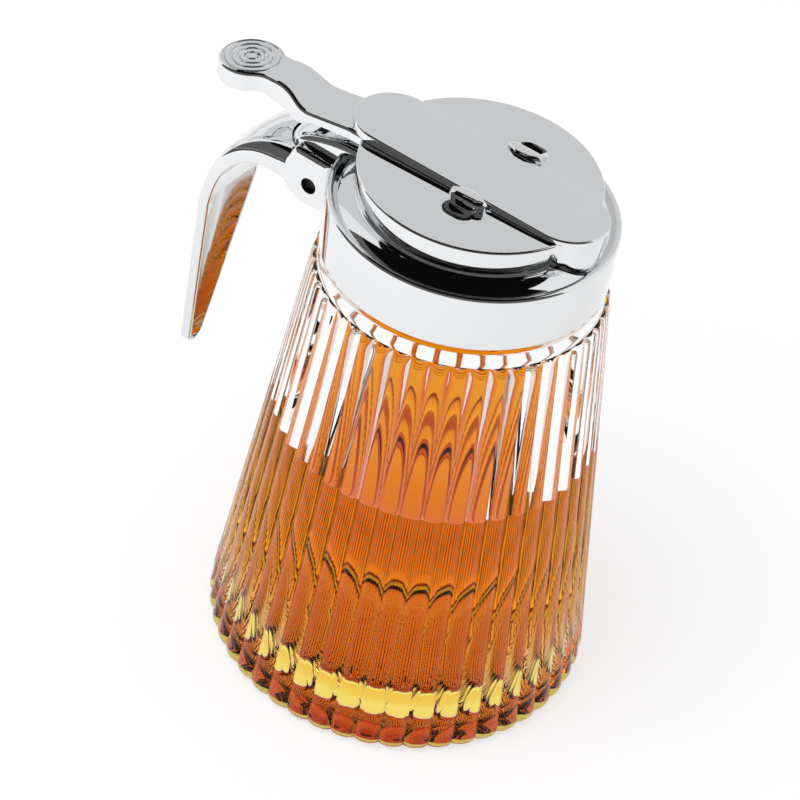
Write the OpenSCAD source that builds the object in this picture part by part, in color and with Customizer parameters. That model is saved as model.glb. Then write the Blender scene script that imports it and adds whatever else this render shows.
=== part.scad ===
// Honey dispenser: a ribbed glass jar under a screw-on pouring lid.
// Pulling the thumb lever back draws the cut-off slide off the pour mouth, and the
// spring in the lid closes it again, which cuts the last drop off.
// Frame: +Z up, origin at the centre of the base, pour mouth toward +X and handle
// toward -X. Millimetres.

/* [Glass jar] */
// Radius over the ribs at the heel
base_r = 42.9; // [38:0.1:48]
// How far the ribs stand outside the collar at their top ends
rib_proud = 1; // [0.6:0.1:3]
// Height of the rib tops above the base
rib_top_z = 101.5; // [85:0.5:120]
// Number of ribs round the jar
rib_count = 48; // [30:1:60]
// How far a rib stands out of the valleys beside it
rib_rise = 1; // [0.4:0.1:1.5]
// Length over which a rib rounds off at its top end
rib_dome = 2; // [1:0.1:4]
// Radius of the heel at the edge of the base
heel_r = 2.4; // [1:0.1:4]
// Glass left between a valley and the inside
glass_wall = 3; // [2:0.1:4]
// Thickness of the glass floor
floor_t = 9; // [5:0.5:14]
// Radius inside, where the floor meets the wall
inner_heel_r = 4; // [2:0.5:8]
// Height of the plain shoulder above the rib tops
shoulder_h = 3.8; // [2:0.1:6]
// Wall of the neck
neck_wall = 2.6; // [2:0.1:3]
// Height of the neck above the shoulder
neck_h = 10.8; // [9:0.1:14]

/* [Honey] */
// Height of the honey above the base
honey_level = 61; // [20:1:90]
// Film between the honey and the glass in this model
honey_film = 0.05; // [0.02:0.01:0.2]

/* [Collar and platform] */
// Outer radius of the collar
collar_r = 30; // [28.5:0.1:32]
// Wall of the collar skirt
collar_wall = 1.25; // [1:0.05:1.6]
// Gap between the collar and the glass shoulder below it
collar_gap = 0.9; // [0.4:0.1:2]
// Thickness of the sealing ring on the neck rim
gasket_t = 1.2; // [0.8:0.1:2]
// Thickness of the threaded liner in the collar
liner_t = 1.25; // [1:0.05:1.6]
// Radial gap between the threaded liner and the neck
thread_gap = 0.6; // [0.4:0.1:0.8]
// Running gap that keeps pieces of turning bodies apart
face_gap = 0.3; // [0.15:0.05:0.4]
// Thickness of the plate round the platform, above the sealing ring
plate_t = 1.5; // [1.2:0.1:2]
// Radius of the bead round the top of the collar
bead_r = 0.8; // [0.5:0.05:1]
// Width of the shoulder between the collar's edge and the platform on top
shoulder_w = 5; // [4.4:0.1:5.6]
// Height of the platform above the plate
disc_h = 8.1; // [7:0.1:10]
// Wall of the platform drum
drum_wall = 2; // [1.5:0.1:2.5]
// Thickness of the platform's top
roof_t = 2.6; // [2.3:0.1:3]
// How far the drum wall draws in toward its foot
drum_draft = 0.6; // [0.2:0.1:1]

/* [Pour mouth] */
// Distance from the collar's edge in to the centre of the mouth
mouth_inset = 9; // [8.6:0.1:11]
// Radius of the mouth
mouth_r = 5.6; // [4:0.1:6]
// Radius of the fillets where the nose runs into the drum
nose_fillet = 6; // [3:0.5:8]
// Wall between the mouth and the tip of the nose
nose_wall = 1.9; // [1.2:0.1:2.5]

/* [Cut-off slide] */
// Width of the slide plate
slide_w = 17.5; // [16:0.1:19]
// Thickness of the plate at its thumb end
slide_t_rear = 2; // [1.6:0.1:2.6]
// Thickness of the plate at its pouring end
slide_t_front = 0.9; // [0.6:0.1:1.4]
// How far the plate reaches past the nose of the platform
slide_overhang = 0.7; // [0.3:0.1:1.5]
// How far the plate reaches past the platform at its thumb end
slide_rear = 4.8; // [2:0.1:7]
// Gap under the plate and round its guides
slide_gap = 0.15; // [0.1:0.05:0.25]
// Travel of the slide when the mouth is fully open
slide_travel = 11; // [8:0.5:11.5]

/* [Spring channel] */
// Width of the channel across the platform
channel_w = 6.6; // [6:0.1:7]
// Depth of the channel below the platform's top
channel_d = 5; // [4.6:0.1:5.4]
// Metal round the channel and the lever slot
channel_wall = 1.2; // [0.9:0.1:1.5]
// Diameter of the spring wire
wire_d = 0.6; // [0.4:0.05:0.7]
// Diameter over the coils
coil_d = 4.3; // [3.8:0.1:4.4]
// Turns of the spring
coil_turns = 8; // [7:1:8]
// Play left between the coils when the slide is fully open
coil_play = 3.2; // [2.4:0.1:3.6]
// Thickness of the fixed wall behind the spring
seat_t = 1.6; // [1.2:0.1:2]
// Distance of that wall from the lever slot behind it
seat_gap = 0.65; // [0.5:0.05:1]
// Thickness of the slide's finger in front of the spring
finger_t = 3; // [2:0.1:3.5]
// Thickness of the rails that run from the finger past the spring
rail_t = 0.6; // [0.4:0.05:0.7]

/* [Staked lugs] */
// Distance of the lugs from the axis, toward the mouth
lug_x = 3.5; // [0:0.5:6]
// Length of the straight part of a lug
lug_l = 3.4; // [2:0.1:5]
// Radius of a lug
lug_r = 2.1; // [1.8:0.1:2.6]
// Radius of the punch mark beside a lug
punch_r = 3.4; // [2.8:0.1:3.8]
// Depth of the punch mark
punch_d = 1.5; // [0.8:0.1:1.8]

/* [Thumb lever] */
// Width of the lever's straight part
lever_w = 12; // [10:0.5:12.5]
// Width of the lever's waist
waist_w = 9.6; // [8:0.1:11]
// Thickness of the tongue under the slide
tongue_t = 2.4; // [1.8:0.1:2.6]
// Length of the tongue inside the platform
tongue_l = 9.5; // [8:0.1:10]
// Distance from the platform's edge to the centre of the thumb pad
lever_reach = 32.3; // [30:0.1:36]
// Radius of the thumb pad
pad_r = 7; // [6:0.1:8]
// Height of the pad's centre above the tongue's top
pad_rise = -0.2; // [-1:0.1:1]
// Slope of the pad, falling outward
pad_tilt = 6; // [0:1:12]
// Drop of the lever's bend below the tongue's top
bend_drop = 1.5; // [0.5:0.1:2.5]
// Length over which the lever rises from the bend to the pad
rise_l = 9; // [8:0.1:10]
// Depth of the lever's side walls at the pad
pad_depth = 4.6; // [3:0.1:6]
// Wall of the lever, which is open below
lever_wall = 1.3; // [1:0.1:1.6]
// Number of rings on the pad
ring_count = 4; // [2:1:5]
// Width of a ring groove
ring_w = 0.5; // [0.3:0.05:0.7]
// Depth of a ring groove
ring_d = 0.35; // [0.2:0.05:0.6]
// Distance of a rivet from the end of the foot that it holds
rivet_inset = 2.1; // [2:0.1:2.6]
// Radius of a rivet shank
rivet_r = 1.1; // [0.8:0.1:1.4]
// Radius of a rivet head
rivet_head_r = 1.9; // [1.5:0.1:2.2]
// Thickness of a rivet head
rivet_head_t = 0.6; // [0.4:0.05:0.7]

/* [Bracket] */
// Drop of the bracket's top below the platform's top
bracket_drop = 5.3; // [4.5:0.1:6]
// Radius of the bracket's arched top
bracket_arch_r = 31.6; // [28:0.1:36]
// Reach of the bracket's round end past the pin
bracket_reach = 9.9; // [9:0.1:10.5]

/* [Handle] */
// Half the handle's width at the arch, over its two ears
handle_half_w = 9; // [8.4:0.1:10]
// Thickness of an ear
ear_t = 2.4; // [1.8:0.1:2.6]
// Gap between the ears and the bracket
ear_gap = 0.1; // [0.05:0.05:0.2]
// Distance of the pin outside the collar
pin_out = 3.9; // [3:0.1:5]
// Height of the pin below the platform's top
pin_drop = 17.6; // [16:0.1:19]
// Radius of the pin
pin_r = 1.85; // [1.4:0.05:2.2]
// How deep the pin's ends lie in the ears
pin_recess = 0.9; // [0.3:0.1:1.5]
// Height of an ear above the pin
ear_rise = 7.5; // [7:0.1:8]
// Depth of the handle's arch where it leaves the ears
arch_t = 8.3; // [7:0.1:9]
// Radius of the arch's upper edges beside the ears
arch_edge = 2.8; // [1:0.1:3]
// Radius of the ears' upper edges
ear_edge = 1.1; // [0.5:0.1:1.5]
// Distance from the pin to the outer face of the grip, at its knee
grip_out = 27.1; // [25:0.1:31]
// Drop from the pin to the knee
knee_drop = 21.3; // [19:0.1:24]
// How far the grip leans out from its knee to its tip
grip_lean = 5.3; // [2:0.1:8]
// Height of the grip from its tip to its knee
grip_l = 45; // [38:0.5:48]
// Half the grip's width at its tip
tip_half_w = 2.7; // [2:0.1:4]
// Thickness of the grip
grip_t = 2.6; // [2.2:0.1:4]
// Depth of the hollow in the grip's inner face
hollow_d = 1.6; // [1:0.1:2.5]
// Width of the lip round the hollow
lip_w = 0.9; // [0.7:0.1:1.5]

/* [Hidden] */
$fn = 96;
tiny = 0.01;
seam = 0.04;
far = 200;

// Heights of the stack, from the base up
ledge_z = rib_top_z + shoulder_h;
rim_z = ledge_z + neck_h;
plate_z = rim_z + gasket_t;
plate_top_z = plate_z + plate_t;
disc_z = plate_top_z + disc_h;
slide_z = disc_z + slide_gap;
collar_z = ledge_z + collar_gap;
channel_z = disc_z - channel_d;
pin_z = disc_z - pin_drop;

// Radii of the closure, from the collar in and out
liner_out_r = collar_r - collar_wall;
liner_in_r = liner_out_r - liner_t;
neck_r = liner_in_r - thread_gap;
bore_r = neck_r - neck_wall;
bead_x = collar_r - bead_r;
disc_r = collar_r - shoulder_w;
rib_top_r = collar_r + rib_proud;

// Distances from the axis: mouth and slide ends, thumb pad, pin and grip
mouth_x = collar_r - mouth_inset;
nose_r = mouth_r + nose_wall;
slide_tip_x = mouth_x + nose_r + slide_overhang;
slide_end_x = -disc_r - slide_rear;
slide_l = slide_tip_x - slide_end_x;
pad_x = disc_r + lever_reach;
pin_x = collar_r + pin_out;
grip_x = pin_x + grip_out;

// Points on an arc, and on a curve that leaves a and reaches d with handles b and c
function arc(x, y, r, a0, a1, n) =
    [for (i = [0 : n]) let (a = a0 + (a1 - a0) * i / n) [x + r * cos(a), y + r * sin(a)]];
function bezier(a, b, c, d, n) =
    [for (i = [0 : n]) let (t = i / n, s = 1 - t)
        s * s * s * a + 3 * s * s * t * b + 3 * s * t * t * c + t * t * t * d];
function mirrored(points) = [for (i = [len(points) - 1 : -1 : 0]) [points[i].x, -points[i].y]];

// What is cut away to round the upper edge of a bent plate of half width w. The line runs
// along the plate's outer face, and each of its stations is [x, z, slope, radius of the edge]
function edge_section(w, r) = concat([[w + 1, -1], [w + 1, r]],
    [for (a = [0 : 22.5 : 90]) [w - r + r * cos(a), r - r * sin(a)]], [[w - r, -1]]);
module edge_round(line, w) {
    n = len(edge_section(w, 1));
    last = len(line) - 1;
    polyhedron(
        points = [for (s = line, q = edge_section(w, s[3]))
            [s[0] + q.y * sin(s[2]), q.x, s[1] - q.y * cos(s[2])]],
        faces = concat([[for (i = [0 : n - 1]) i]],
            [for (j = [0 : last - 1], i = [0 : n - 1]) let (k = (i + 1) % n, a = j * n, b = a + n)
                each [[a + i, b + i, b + k], [a + i, b + k, a + k]]],
            [[for (i = [n - 1 : -1 : 0]) last * n + i]]));
}

// Extrudes an outline drawn in X and Z to both sides of the middle plane
module side_plate(half_w) {
    translate([0, half_w, 0])
        rotate([90, 0, 0]) linear_extrude(2 * half_w) children();
}

// ---------------------------------------------------------------- glass jar

// Radius over the ribs at height z, on the straight flare of the jar
function crest_r(z) = base_r + (rib_top_r - base_r) * (z - heel_r) / (rib_top_z - heel_r);

// Across one rib, from valley to valley, the share of the rise that is reached
rib_shape = [for (u = [-1, -0.62, -0.2, 0.2, 0.62]) sqrt(1 - u * u)];

// A ring of the outer face is [height, radius over the ribs, share of the rise]
heel_rings = [for (a = [0 : 30 : 90])
    [heel_r * (1 - cos(a)), crest_r(heel_r) - heel_r * (1 - sin(a)), 0.45 + 0.55 * sin(a)]];
dome_rings = [for (t = [0, 0.5, 0.8, 1])
    [rib_top_z - rib_dome * (1 - t), crest_r(rib_top_z - rib_dome * (1 - t)), sqrt(1 - t * t)]];
outer_rings = concat(heel_rings, dome_rings);

function ring_points(ring) = [for (i = [0 : rib_count - 1], k = [0 : len(rib_shape) - 1])
    let (a = (i + k / len(rib_shape)) * 360 / rib_count,
         r = ring[1] - rib_rise * (1 - ring[2] * rib_shape[k]))
    [r * cos(a), r * sin(a), ring[0]]];

// The ribbed body: every rib is round across, runs down the flare, and rounds off
// at its top end and over the heel
module ribbed_body() {
    rings = len(outer_rings);
    n = rib_count * len(rib_shape);
    walls = [for (j = [0 : rings - 2], i = [0 : n - 1]) let (k = (i + 1) % n)
        each [[j * n + i, (j + 1) * n + i, (j + 1) * n + k], [j * n + i, (j + 1) * n + k, j * n + k]]];
    polyhedron(
        points = [for (ring = outer_rings) each ring_points(ring)],
        faces = concat([[for (i = [0 : n - 1]) i]], walls,
            [[for (i = [n - 1 : -1 : 0]) (rings - 1) * n + i]]));
}

// Outline of the inside, from the floor up to height top, drawn in by gap
function cavity_r(z) = crest_r(z) - rib_rise - glass_wall;
function cavity_side(gap, top) = let (
    corner_r = cavity_r(floor_t + inner_heel_r) - inner_heel_r,
    corner_z = floor_t + inner_heel_r)
    concat([[0, floor_t + gap]],
        arc(corner_r, corner_z, inner_heel_r - gap, -90, 0, 8),
        [[cavity_r(top) - gap, top]]);

module glass_jar() {
    color([0.93, 0.94, 0.93, 0.5]) difference() {
        union() {
            ribbed_body();
            rotate_extrude() polygon(concat(
                [[0, rib_top_z], [crest_r(rib_top_z) - rib_rise + seam, rib_top_z]],
                arc(crest_r(ledge_z) - rib_rise - 0.6, ledge_z - 0.6, 0.6, 0, 90, 4),
                [[neck_r, ledge_z], [neck_r, rim_z - 0.5], [neck_r - 0.5, rim_z], [0, rim_z]]));
        }
        rotate_extrude() polygon(concat(cavity_side(0, rib_top_z),
            [[bore_r, ledge_z], [bore_r, rim_z + 1], [0, rim_z + 1]]));
    }
}

module honey_fill() {
    color([0.85, 0.45, 0.1]) rotate_extrude()
        polygon(concat(cavity_side(honey_film, honey_level), [[0, honey_level]]));
}

// ------------------------------------------------------------- screw closure

module neck_gasket() {
    color([0.9, 0.9, 0.88]) translate([0, 0, rim_z])
        difference() {
            cylinder(h = gasket_t, r = liner_in_r - face_gap);
            translate([0, 0, -1]) cylinder(h = gasket_t + 2, r = bore_r + face_gap);
        }
}

// The liner is pressed into the collar and grips the neck with its thread
module thread_liner() {
    color([0.92, 0.92, 0.9]) translate([0, 0, collar_z + face_gap])
        difference() {
            cylinder(h = plate_z - collar_z - face_gap, r = liner_out_r);
            translate([0, 0, -1]) cylinder(h = far, r = liner_in_r);
        }
}

// ---------------------------------------------------------------- lid casting

foot_r = disc_r - drum_draft;
foot_z = plate_top_z + 2.2;
edge_r = 0.5;
groove_x = bead_x - bead_r - 0.25;
lever_slot_w = lever_w + 2 * face_gap;
tongue_top_z = disc_z - 1.3;
tongue_z = tongue_top_z - tongue_t;
slot_z = tongue_z - rivet_head_t - face_gap;
slot_end_x = -disc_r + tongue_l + face_gap;
spring_l = slide_travel + coil_turns * wire_d + coil_play;
spring_rear_x = slot_end_x + seat_gap + seat_t;
spring_front_x = spring_rear_x + spring_l;
finger_x = spring_front_x + finger_t;
channel_front_x = finger_x + slide_gap;
bracket_w = 2 * (handle_half_w - ear_t - ear_gap);
bracket_end_x = pin_x + bracket_reach - bracket_w / 2;

// Collar, bead, domed plate and drum as one turned outline
module lid_outline() {
    polygon(concat(
        [[0, disc_z - roof_t], [0, disc_z]],
        arc(disc_r - edge_r, disc_z - edge_r, edge_r, 90, 0, 4),
        [[foot_r, foot_z]],
        bezier([foot_r + 0.5, foot_z - 0.7], [groove_x - 2, foot_z - 0.7],
            [groove_x - 0.4, plate_top_z + 0.6], [groove_x, plate_top_z - 0.4], 8),
        arc(bead_x, plate_top_z - bead_r + 0.4, bead_r, 150, 0, 8),
        [[collar_r, collar_z + 0.3], [collar_r - 0.3, collar_z], [liner_out_r, collar_z],
            [liner_out_r, plate_z], [disc_r - drum_wall, plate_z],
            [disc_r - drum_wall, disc_z - roof_t]]));
}

// Plan of the nose, with a fillet on each side that touches the nose and the drum
fillet_drum_r = disc_r - drum_draft / 2;
fillet_x = (pow(fillet_drum_r + nose_fillet, 2) - pow(nose_r + nose_fillet, 2)
    + mouth_x * mouth_x) / (2 * mouth_x);
fillet_y = sqrt(pow(fillet_drum_r + nose_fillet, 2) - fillet_x * fillet_x);
module nose_plan(r) {
    centre = [fillet_x, fillet_y];
    mouth = [mouth_x, 0];
    on_drum = centre * fillet_drum_r / (fillet_drum_r + nose_fillet);
    on_nose = mouth + (centre - mouth) * r / (r + nose_fillet);
    translate(mouth) circle(r = r);
    difference() {
        polygon([[0, 0], on_drum, centre, on_nose, mouth, [on_nose.x, -on_nose.y],
            [centre.x, -centre.y], [on_drum.x, -on_drum.y]]);
        for (side = [-1, 1]) translate([fillet_x, side * fillet_y]) circle(r = nose_fillet);
    }
}

// Plan of the bracket that carries the handle
module bracket_plan(gap) {
    translate([-bracket_end_x, 0]) circle(d = bracket_w + 2 * gap);
    translate([-bracket_end_x, -bracket_w / 2 - gap])
        square([bracket_end_x - disc_r + drum_wall, bracket_w + 2 * gap]);
}

// Top edge of the bracket, a shallow arch that falls away from the platform
bracket_top_z = disc_z - bracket_drop;
module bracket() {
    intersection() {
        translate([0, 0, collar_z + 0.5])
            linear_extrude(bracket_top_z - collar_z) bracket_plan(0);
        side_plate(bracket_w)
            translate([-disc_r, bracket_top_z - bracket_arch_r]) circle(r = bracket_arch_r);
        difference() {
            cylinder(h = far, r = far);
            translate([0, 0, -1]) cylinder(h = far, r = collar_r - tiny);
            translate([0, 0, plate_top_z]) cylinder(h = far, r = far);
        }
    }
    intersection() {
        translate([0, 0, plate_z + 0.6])
            linear_extrude(bracket_top_z - plate_z) bracket_plan(0);
        side_plate(bracket_w)
            translate([-disc_r, bracket_top_z - bracket_arch_r]) circle(r = bracket_arch_r);
    }
}

// A box that runs from x0 to x1, between two heights, centred on the middle plane
module run(x0, x1, w, z0, z1) {
    translate([x0, -w / 2, z0]) cube([x1 - x0, w, z1 - z0]);
}

// Thickness of the slide plate at x, a straight taper from thumb end to pouring end
function slide_t(x) = slide_t_rear
    + (slide_t_front - slide_t_rear) * (x - slide_end_x) / slide_l;

// A staked lug: metal pushed out of the punch mark over the edge of the slide
lug_y = slide_w / 2 + 1;
lug_floor_z = slide_z + slide_t(lug_x - lug_l / 2 - lug_r) + slide_gap;
module bar_with_round_ends(l, r) {
    rotate([0, 90, 0]) cylinder(h = l, r = r, center = true);
    translate([l / 2, 0, 0]) sphere(r = r);
    translate([-l / 2, 0, 0]) sphere(r = r);
}
module staked_lug() {
    difference() {
        translate([lug_x, lug_y, disc_z + 0.2]) bar_with_round_ends(lug_l, lug_r);
        run(-far, far, slide_w + 2 * face_gap, disc_z, lug_floor_z);
        translate([-far, -far, disc_z - roof_t - far]) cube([2 * far, 2 * far, far + 0.6]);
    }
}
module punch_mark() {
    translate([lug_x, lug_y + lug_r + 0.6, disc_z + punch_r - punch_d])
        bar_with_round_ends(lug_l - 0.6, punch_r);
}

module lid_casting() {
    color([0.78, 0.79, 0.8]) difference() {
        union() {
            difference() {
                union() {
                    rotate_extrude() lid_outline();
                    intersection() {
                        translate([0, 0, plate_z + 0.3])
                            linear_extrude(disc_z - plate_z - 0.3) nose_plan(nose_r);
                        cylinder(h = far, r = bead_x - 0.2);
                    }
                    bracket();
                }
                // the hollow under the roof, and the mouth through it
                translate([0, 0, plate_z - 1])
                    cylinder(h = disc_z - roof_t - plate_z + 1, r = disc_r - drum_wall);
                translate([mouth_x, 0, plate_top_z]) cylinder(h = far, r = mouth_r);
                for (side = [0, 1]) mirror([0, side, 0]) punch_mark();
            }
            // metal round the spring channel and the lever slot
            run(-disc_r + 1, channel_front_x + channel_wall, channel_w + 2 * channel_wall,
                channel_z - channel_wall, disc_z - 1);
            run(-disc_r + 1.2, slot_end_x + channel_wall,
                lever_slot_w + 2 * channel_wall, slot_z - channel_wall, disc_z - 1);
            for (side = [0, 1]) mirror([0, side, 0]) staked_lug();
        }
        difference() {
            run(-disc_r + 1, channel_front_x, channel_w, channel_z, far);
            run(spring_rear_x - seat_t, spring_rear_x, channel_w - 2 * rail_t - 4 * slide_gap,
                channel_z - 1, disc_z - 0.4);
        }
        run(-collar_r - far, slot_end_x, lever_slot_w, slot_z, far);
        translate([-pin_x, far, pin_z]) rotate([90, 0, 0]) cylinder(h = 2 * far, r = pin_r);
    }
}

// ------------------------------------------------------------ slide and lever

module slide_plan() {
    r = slide_w / 2;
    translate([slide_end_x + r, 0]) circle(r = r);
    translate([slide_tip_x - r, 0]) circle(r = r);
    translate([slide_end_x + r, -r]) square([slide_l - 2 * r, slide_w]);
}

foot_l = tongue_l - 0.4;
stem_z = channel_z + face_gap;
rail_l = spring_l - 1;
module cutoff_slide() {
    color([0.76, 0.76, 0.77]) {
        intersection() {
            translate([0, 0, slide_z]) linear_extrude(slide_t_rear) slide_plan();
            side_plate(slide_w) polygon([[slide_end_x, slide_z - 1], [slide_tip_x, slide_z - 1],
                [slide_tip_x, slide_z + slide_t_front], [slide_end_x, slide_z + slide_t_rear]]);
        }
        // finger in front of the spring, with a rail on each side of the coils
        run(spring_front_x, finger_x, channel_w - 2 * slide_gap, stem_z, slide_z + tiny);
        for (side = [0, 1]) mirror([0, side, 0])
            translate([finger_x - rail_l, channel_w / 2 - slide_gap - rail_t, stem_z])
                cube([rail_l, rail_t, slide_z - stem_z + tiny]);
        // foot that the lever's tongue is riveted to
        run(-disc_r, -disc_r + foot_l, lever_w - 2, tongue_top_z, slide_z + tiny);
    }
}

// Side view of the lever: a tongue, a straight run that falls outward, an S-bend up
// and the thumb pad
lever_end_x = -disc_r + foot_l;
pad_top_z = tongue_top_z + pad_rise;
pad_rim_x = -pad_x - pad_r - 0.5;
crest_x = -pad_x + pad_r + 2.8;
bend_x = crest_x + rise_l;
bend_z = tongue_top_z - bend_drop;
neck_x = -disc_r - 3.5;
crest_z = pad_top_z + (pad_x + crest_x) * tan(pad_tilt);
function lever_top() = concat(
    [[lever_end_x, tongue_top_z], [neck_x, tongue_top_z]],
    bezier([bend_x, bend_z], [bend_x - 3.6, bend_z - 0.5], [crest_x + 4.6, crest_z], [crest_x, crest_z], 10),
    [[pad_rim_x, pad_top_z - (pad_r + 0.5) * tan(pad_tilt)]]);
function lever_bottom() = concat(
    [[pad_rim_x, pad_top_z - pad_depth], [-pad_x, pad_top_z - pad_depth]],
    bezier([-pad_x + pad_r * 0.86, pad_top_z - pad_depth * 0.8], [crest_x + 1.5, crest_z - pad_depth * 0.9],
        [bend_x - rise_l * 0.44, bend_z - pad_depth], [bend_x - 1.1, bend_z - pad_depth * 0.75], 10),
    [[bend_x + 1.5, bend_z - 1.9], [neck_x, tongue_z], [lever_end_x, tongue_z]]);

// Plan of the lever, from the tongue past the waist to the round pad
module lever_plan(inset) {
    h = lever_w / 2 - inset;
    w = waist_w / 2 - inset;
    p = pad_r - inset;
    edge = concat([[lever_end_x - inset, h], [bend_x, h]],
        bezier([bend_x, h], [bend_x - rise_l / 2, h], [crest_x + rise_l / 2, w], [crest_x, w], 8),
        bezier([crest_x, w], [crest_x - pad_r / 2, w], [-pad_x + p * 0.8, p * 0.8],
            [-pad_x + p * 0.45, p * 0.89], 8));
    polygon(concat(edge, mirrored(edge)));
    translate([-pad_x, 0]) circle(r = p);
}

// The pad's top plane, for the ring grooves
module on_pad() {
    translate([-pad_x, 0, pad_top_z]) rotate([0, -pad_tilt, 0]) children();
}

rivet_xs = [-disc_r + rivet_inset, lever_end_x - rivet_inset];
module thumb_lever() {
    color([0.8, 0.81, 0.82]) difference() {
        intersection() {
            side_plate(pad_r + 1) polygon(concat(lever_top(), lever_bottom()));
            translate([0, 0, pin_z]) linear_extrude(far) lever_plan(0);
        }
        // the casting is open below: its skin follows the top at an even thickness
        intersection() {
            translate([0, 0, -lever_wall])
                side_plate(pad_r + 1) polygon(concat(lever_top(),
                    [[pad_rim_x, pin_z], [lever_end_x, pin_z]]));
            translate([0, 0, pin_z]) linear_extrude(far) intersection() {
                lever_plan(lever_wall);
                translate([-far - disc_r - 5, -far]) square([far, 2 * far]);
            }
        }
        on_pad() for (i = [1 : ring_count]) let (r = (pad_r - 0.7) * (i - 0.15) / ring_count) {
            difference() {
                translate([0, 0, -ring_d]) cylinder(h = 2, r = r);
                translate([0, 0, -1]) cylinder(h = 4, r = r - ring_w);
            }
        }
        for (x = rivet_xs) translate([x, 0, tongue_z - 1]) cylinder(h = tongue_t + 2, r = rivet_r);
    }
}

module lever_rivets() {
    color([0.7, 0.7, 0.72]) for (x = rivet_xs) {
        translate([x, 0, tongue_z - rivet_head_t]) cylinder(h = rivet_head_t, r = rivet_head_r);
        translate([x, 0, tongue_z - tiny]) cylinder(h = tongue_t + tiny, r = rivet_r);
    }
}

// A helix of round wire along X, swept ring by ring
spring_steps = 16;
wire_sides = 6;
module return_spring() {
    coil_r = (coil_d - wire_d) / 2;
    steps = coil_turns * spring_steps;
    axis_z = channel_z + channel_d / 2 + 0.1;
    start_x = spring_rear_x + wire_d / 2;
    pitch = (spring_l - wire_d) / coil_turns;
    points = [for (i = [0 : steps], k = [0 : wire_sides - 1])
        let (a = 360 * i / spring_steps, b = 360 * k / wire_sides,
             r = coil_r + wire_d / 2 * cos(b))
        [start_x + pitch * i / spring_steps + wire_d / 2 * sin(b), r * cos(a), axis_z + r * sin(a)]];
    walls = [for (i = [0 : steps - 1], k = [0 : wire_sides - 1])
        let (m = (k + 1) % wire_sides, p = i * wire_sides, q = p + wire_sides)
        each [[p + k, q + m, q + k], [p + k, p + m, q + m]]];
    color([0.6, 0.6, 0.62]) polyhedron(points = points,
        faces = concat([[for (k = [wire_sides - 1 : -1 : 0]) k]], walls,
            [[for (k = [0 : wire_sides - 1]) steps * wire_sides + k]]));
}

// --------------------------------------------------------------------- handle

ear_r = 4.6;
ear_x = pin_x - ear_r + 0.1;
ear_out_x = pin_x + ear_r;
ear_lift = 1;
ear_slant = 0.3;
knee_edge = 0.15;
arch_z = pin_z + ear_rise - ear_lift;
knee_z = pin_z - knee_drop;
tip_x = grip_x + grip_lean;
tip_z = knee_z - grip_l;
hollow_z = knee_z + 4.5;
arch_run = grip_x - ear_out_x;
arch_drop = arch_z - knee_z;

// Side view of the handle, without the ears: the arch and the grip below it
function handle_back() = concat(
    [[-ear_x - 6, arch_z]],
    bezier([-ear_out_x, arch_z], [-ear_out_x - arch_run * 5 / 9, arch_z],
        [-grip_x + 1, arch_z - arch_drop * 2 / 7], [-grip_x, knee_z], 16));
function handle_front() = concat(
    bezier([-grip_x + grip_t, knee_z], [-grip_x + arch_run / 6, arch_z - arch_drop * 4 / 9],
        [-grip_x + arch_run / 2, arch_z - arch_drop * 2 / 9], [-ear_out_x - 1.7, arch_z - arch_t], 12),
    [[-ear_x - 6, arch_z - arch_t]]);
module handle_side() {
    polygon(concat(handle_back(),
        arc(-tip_x + grip_t / 2, tip_z + grip_t / 2, grip_t / 2, 180, 360, 8), handle_front()));
}

// Stations along the arch's outer face, and along an ear's top, for their rounded edges
arch_line = handle_back();
arch_stations = [for (i = [0 : len(arch_line) - 1]) let (
    here = arch_line[i],
    way = arch_line[min(i + 1, len(arch_line) - 1)] - arch_line[max(i - 1, 0)],
    u = i / (len(arch_line) - 1))
    [here.x, here.y, atan2(-way.y, -way.x), arch_edge * (1 - u * u) + knee_edge]];
ear_slope = atan2(-ear_slant, ear_out_x - ear_x);
ear_stations = [for (x = [1 - ear_x, -1 - ear_out_x])
    [x, arch_z + ear_lift - (x + ear_x) * tan(-ear_slope), ear_slope, ear_edge]];

// Front view of the grip: it narrows from the arch to a round tip
module grip_front(inset, top) {
    foot = tip_z + tip_half_w;
    polygon([[-handle_half_w + inset, top], [-handle_half_w + inset, knee_z + 2],
        [-tip_half_w + inset, foot], [tip_half_w - inset, foot],
        [handle_half_w - inset, knee_z + 2], [handle_half_w - inset, top]]);
    translate([0, foot]) circle(r = tip_half_w - inset);
}

module ear_side() {
    polygon([[-ear_out_x, arch_z + ear_lift + ear_slant], [-ear_x, arch_z + ear_lift],
        [-ear_x, pin_z - ear_r],
        [-ear_out_x + ear_r / 2, pin_z - ear_r], [-ear_out_x - 1.7, pin_z - ear_r * 0.4],
        [-ear_out_x - 1.7, arch_z - ear_r / 2]]);
}

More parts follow.
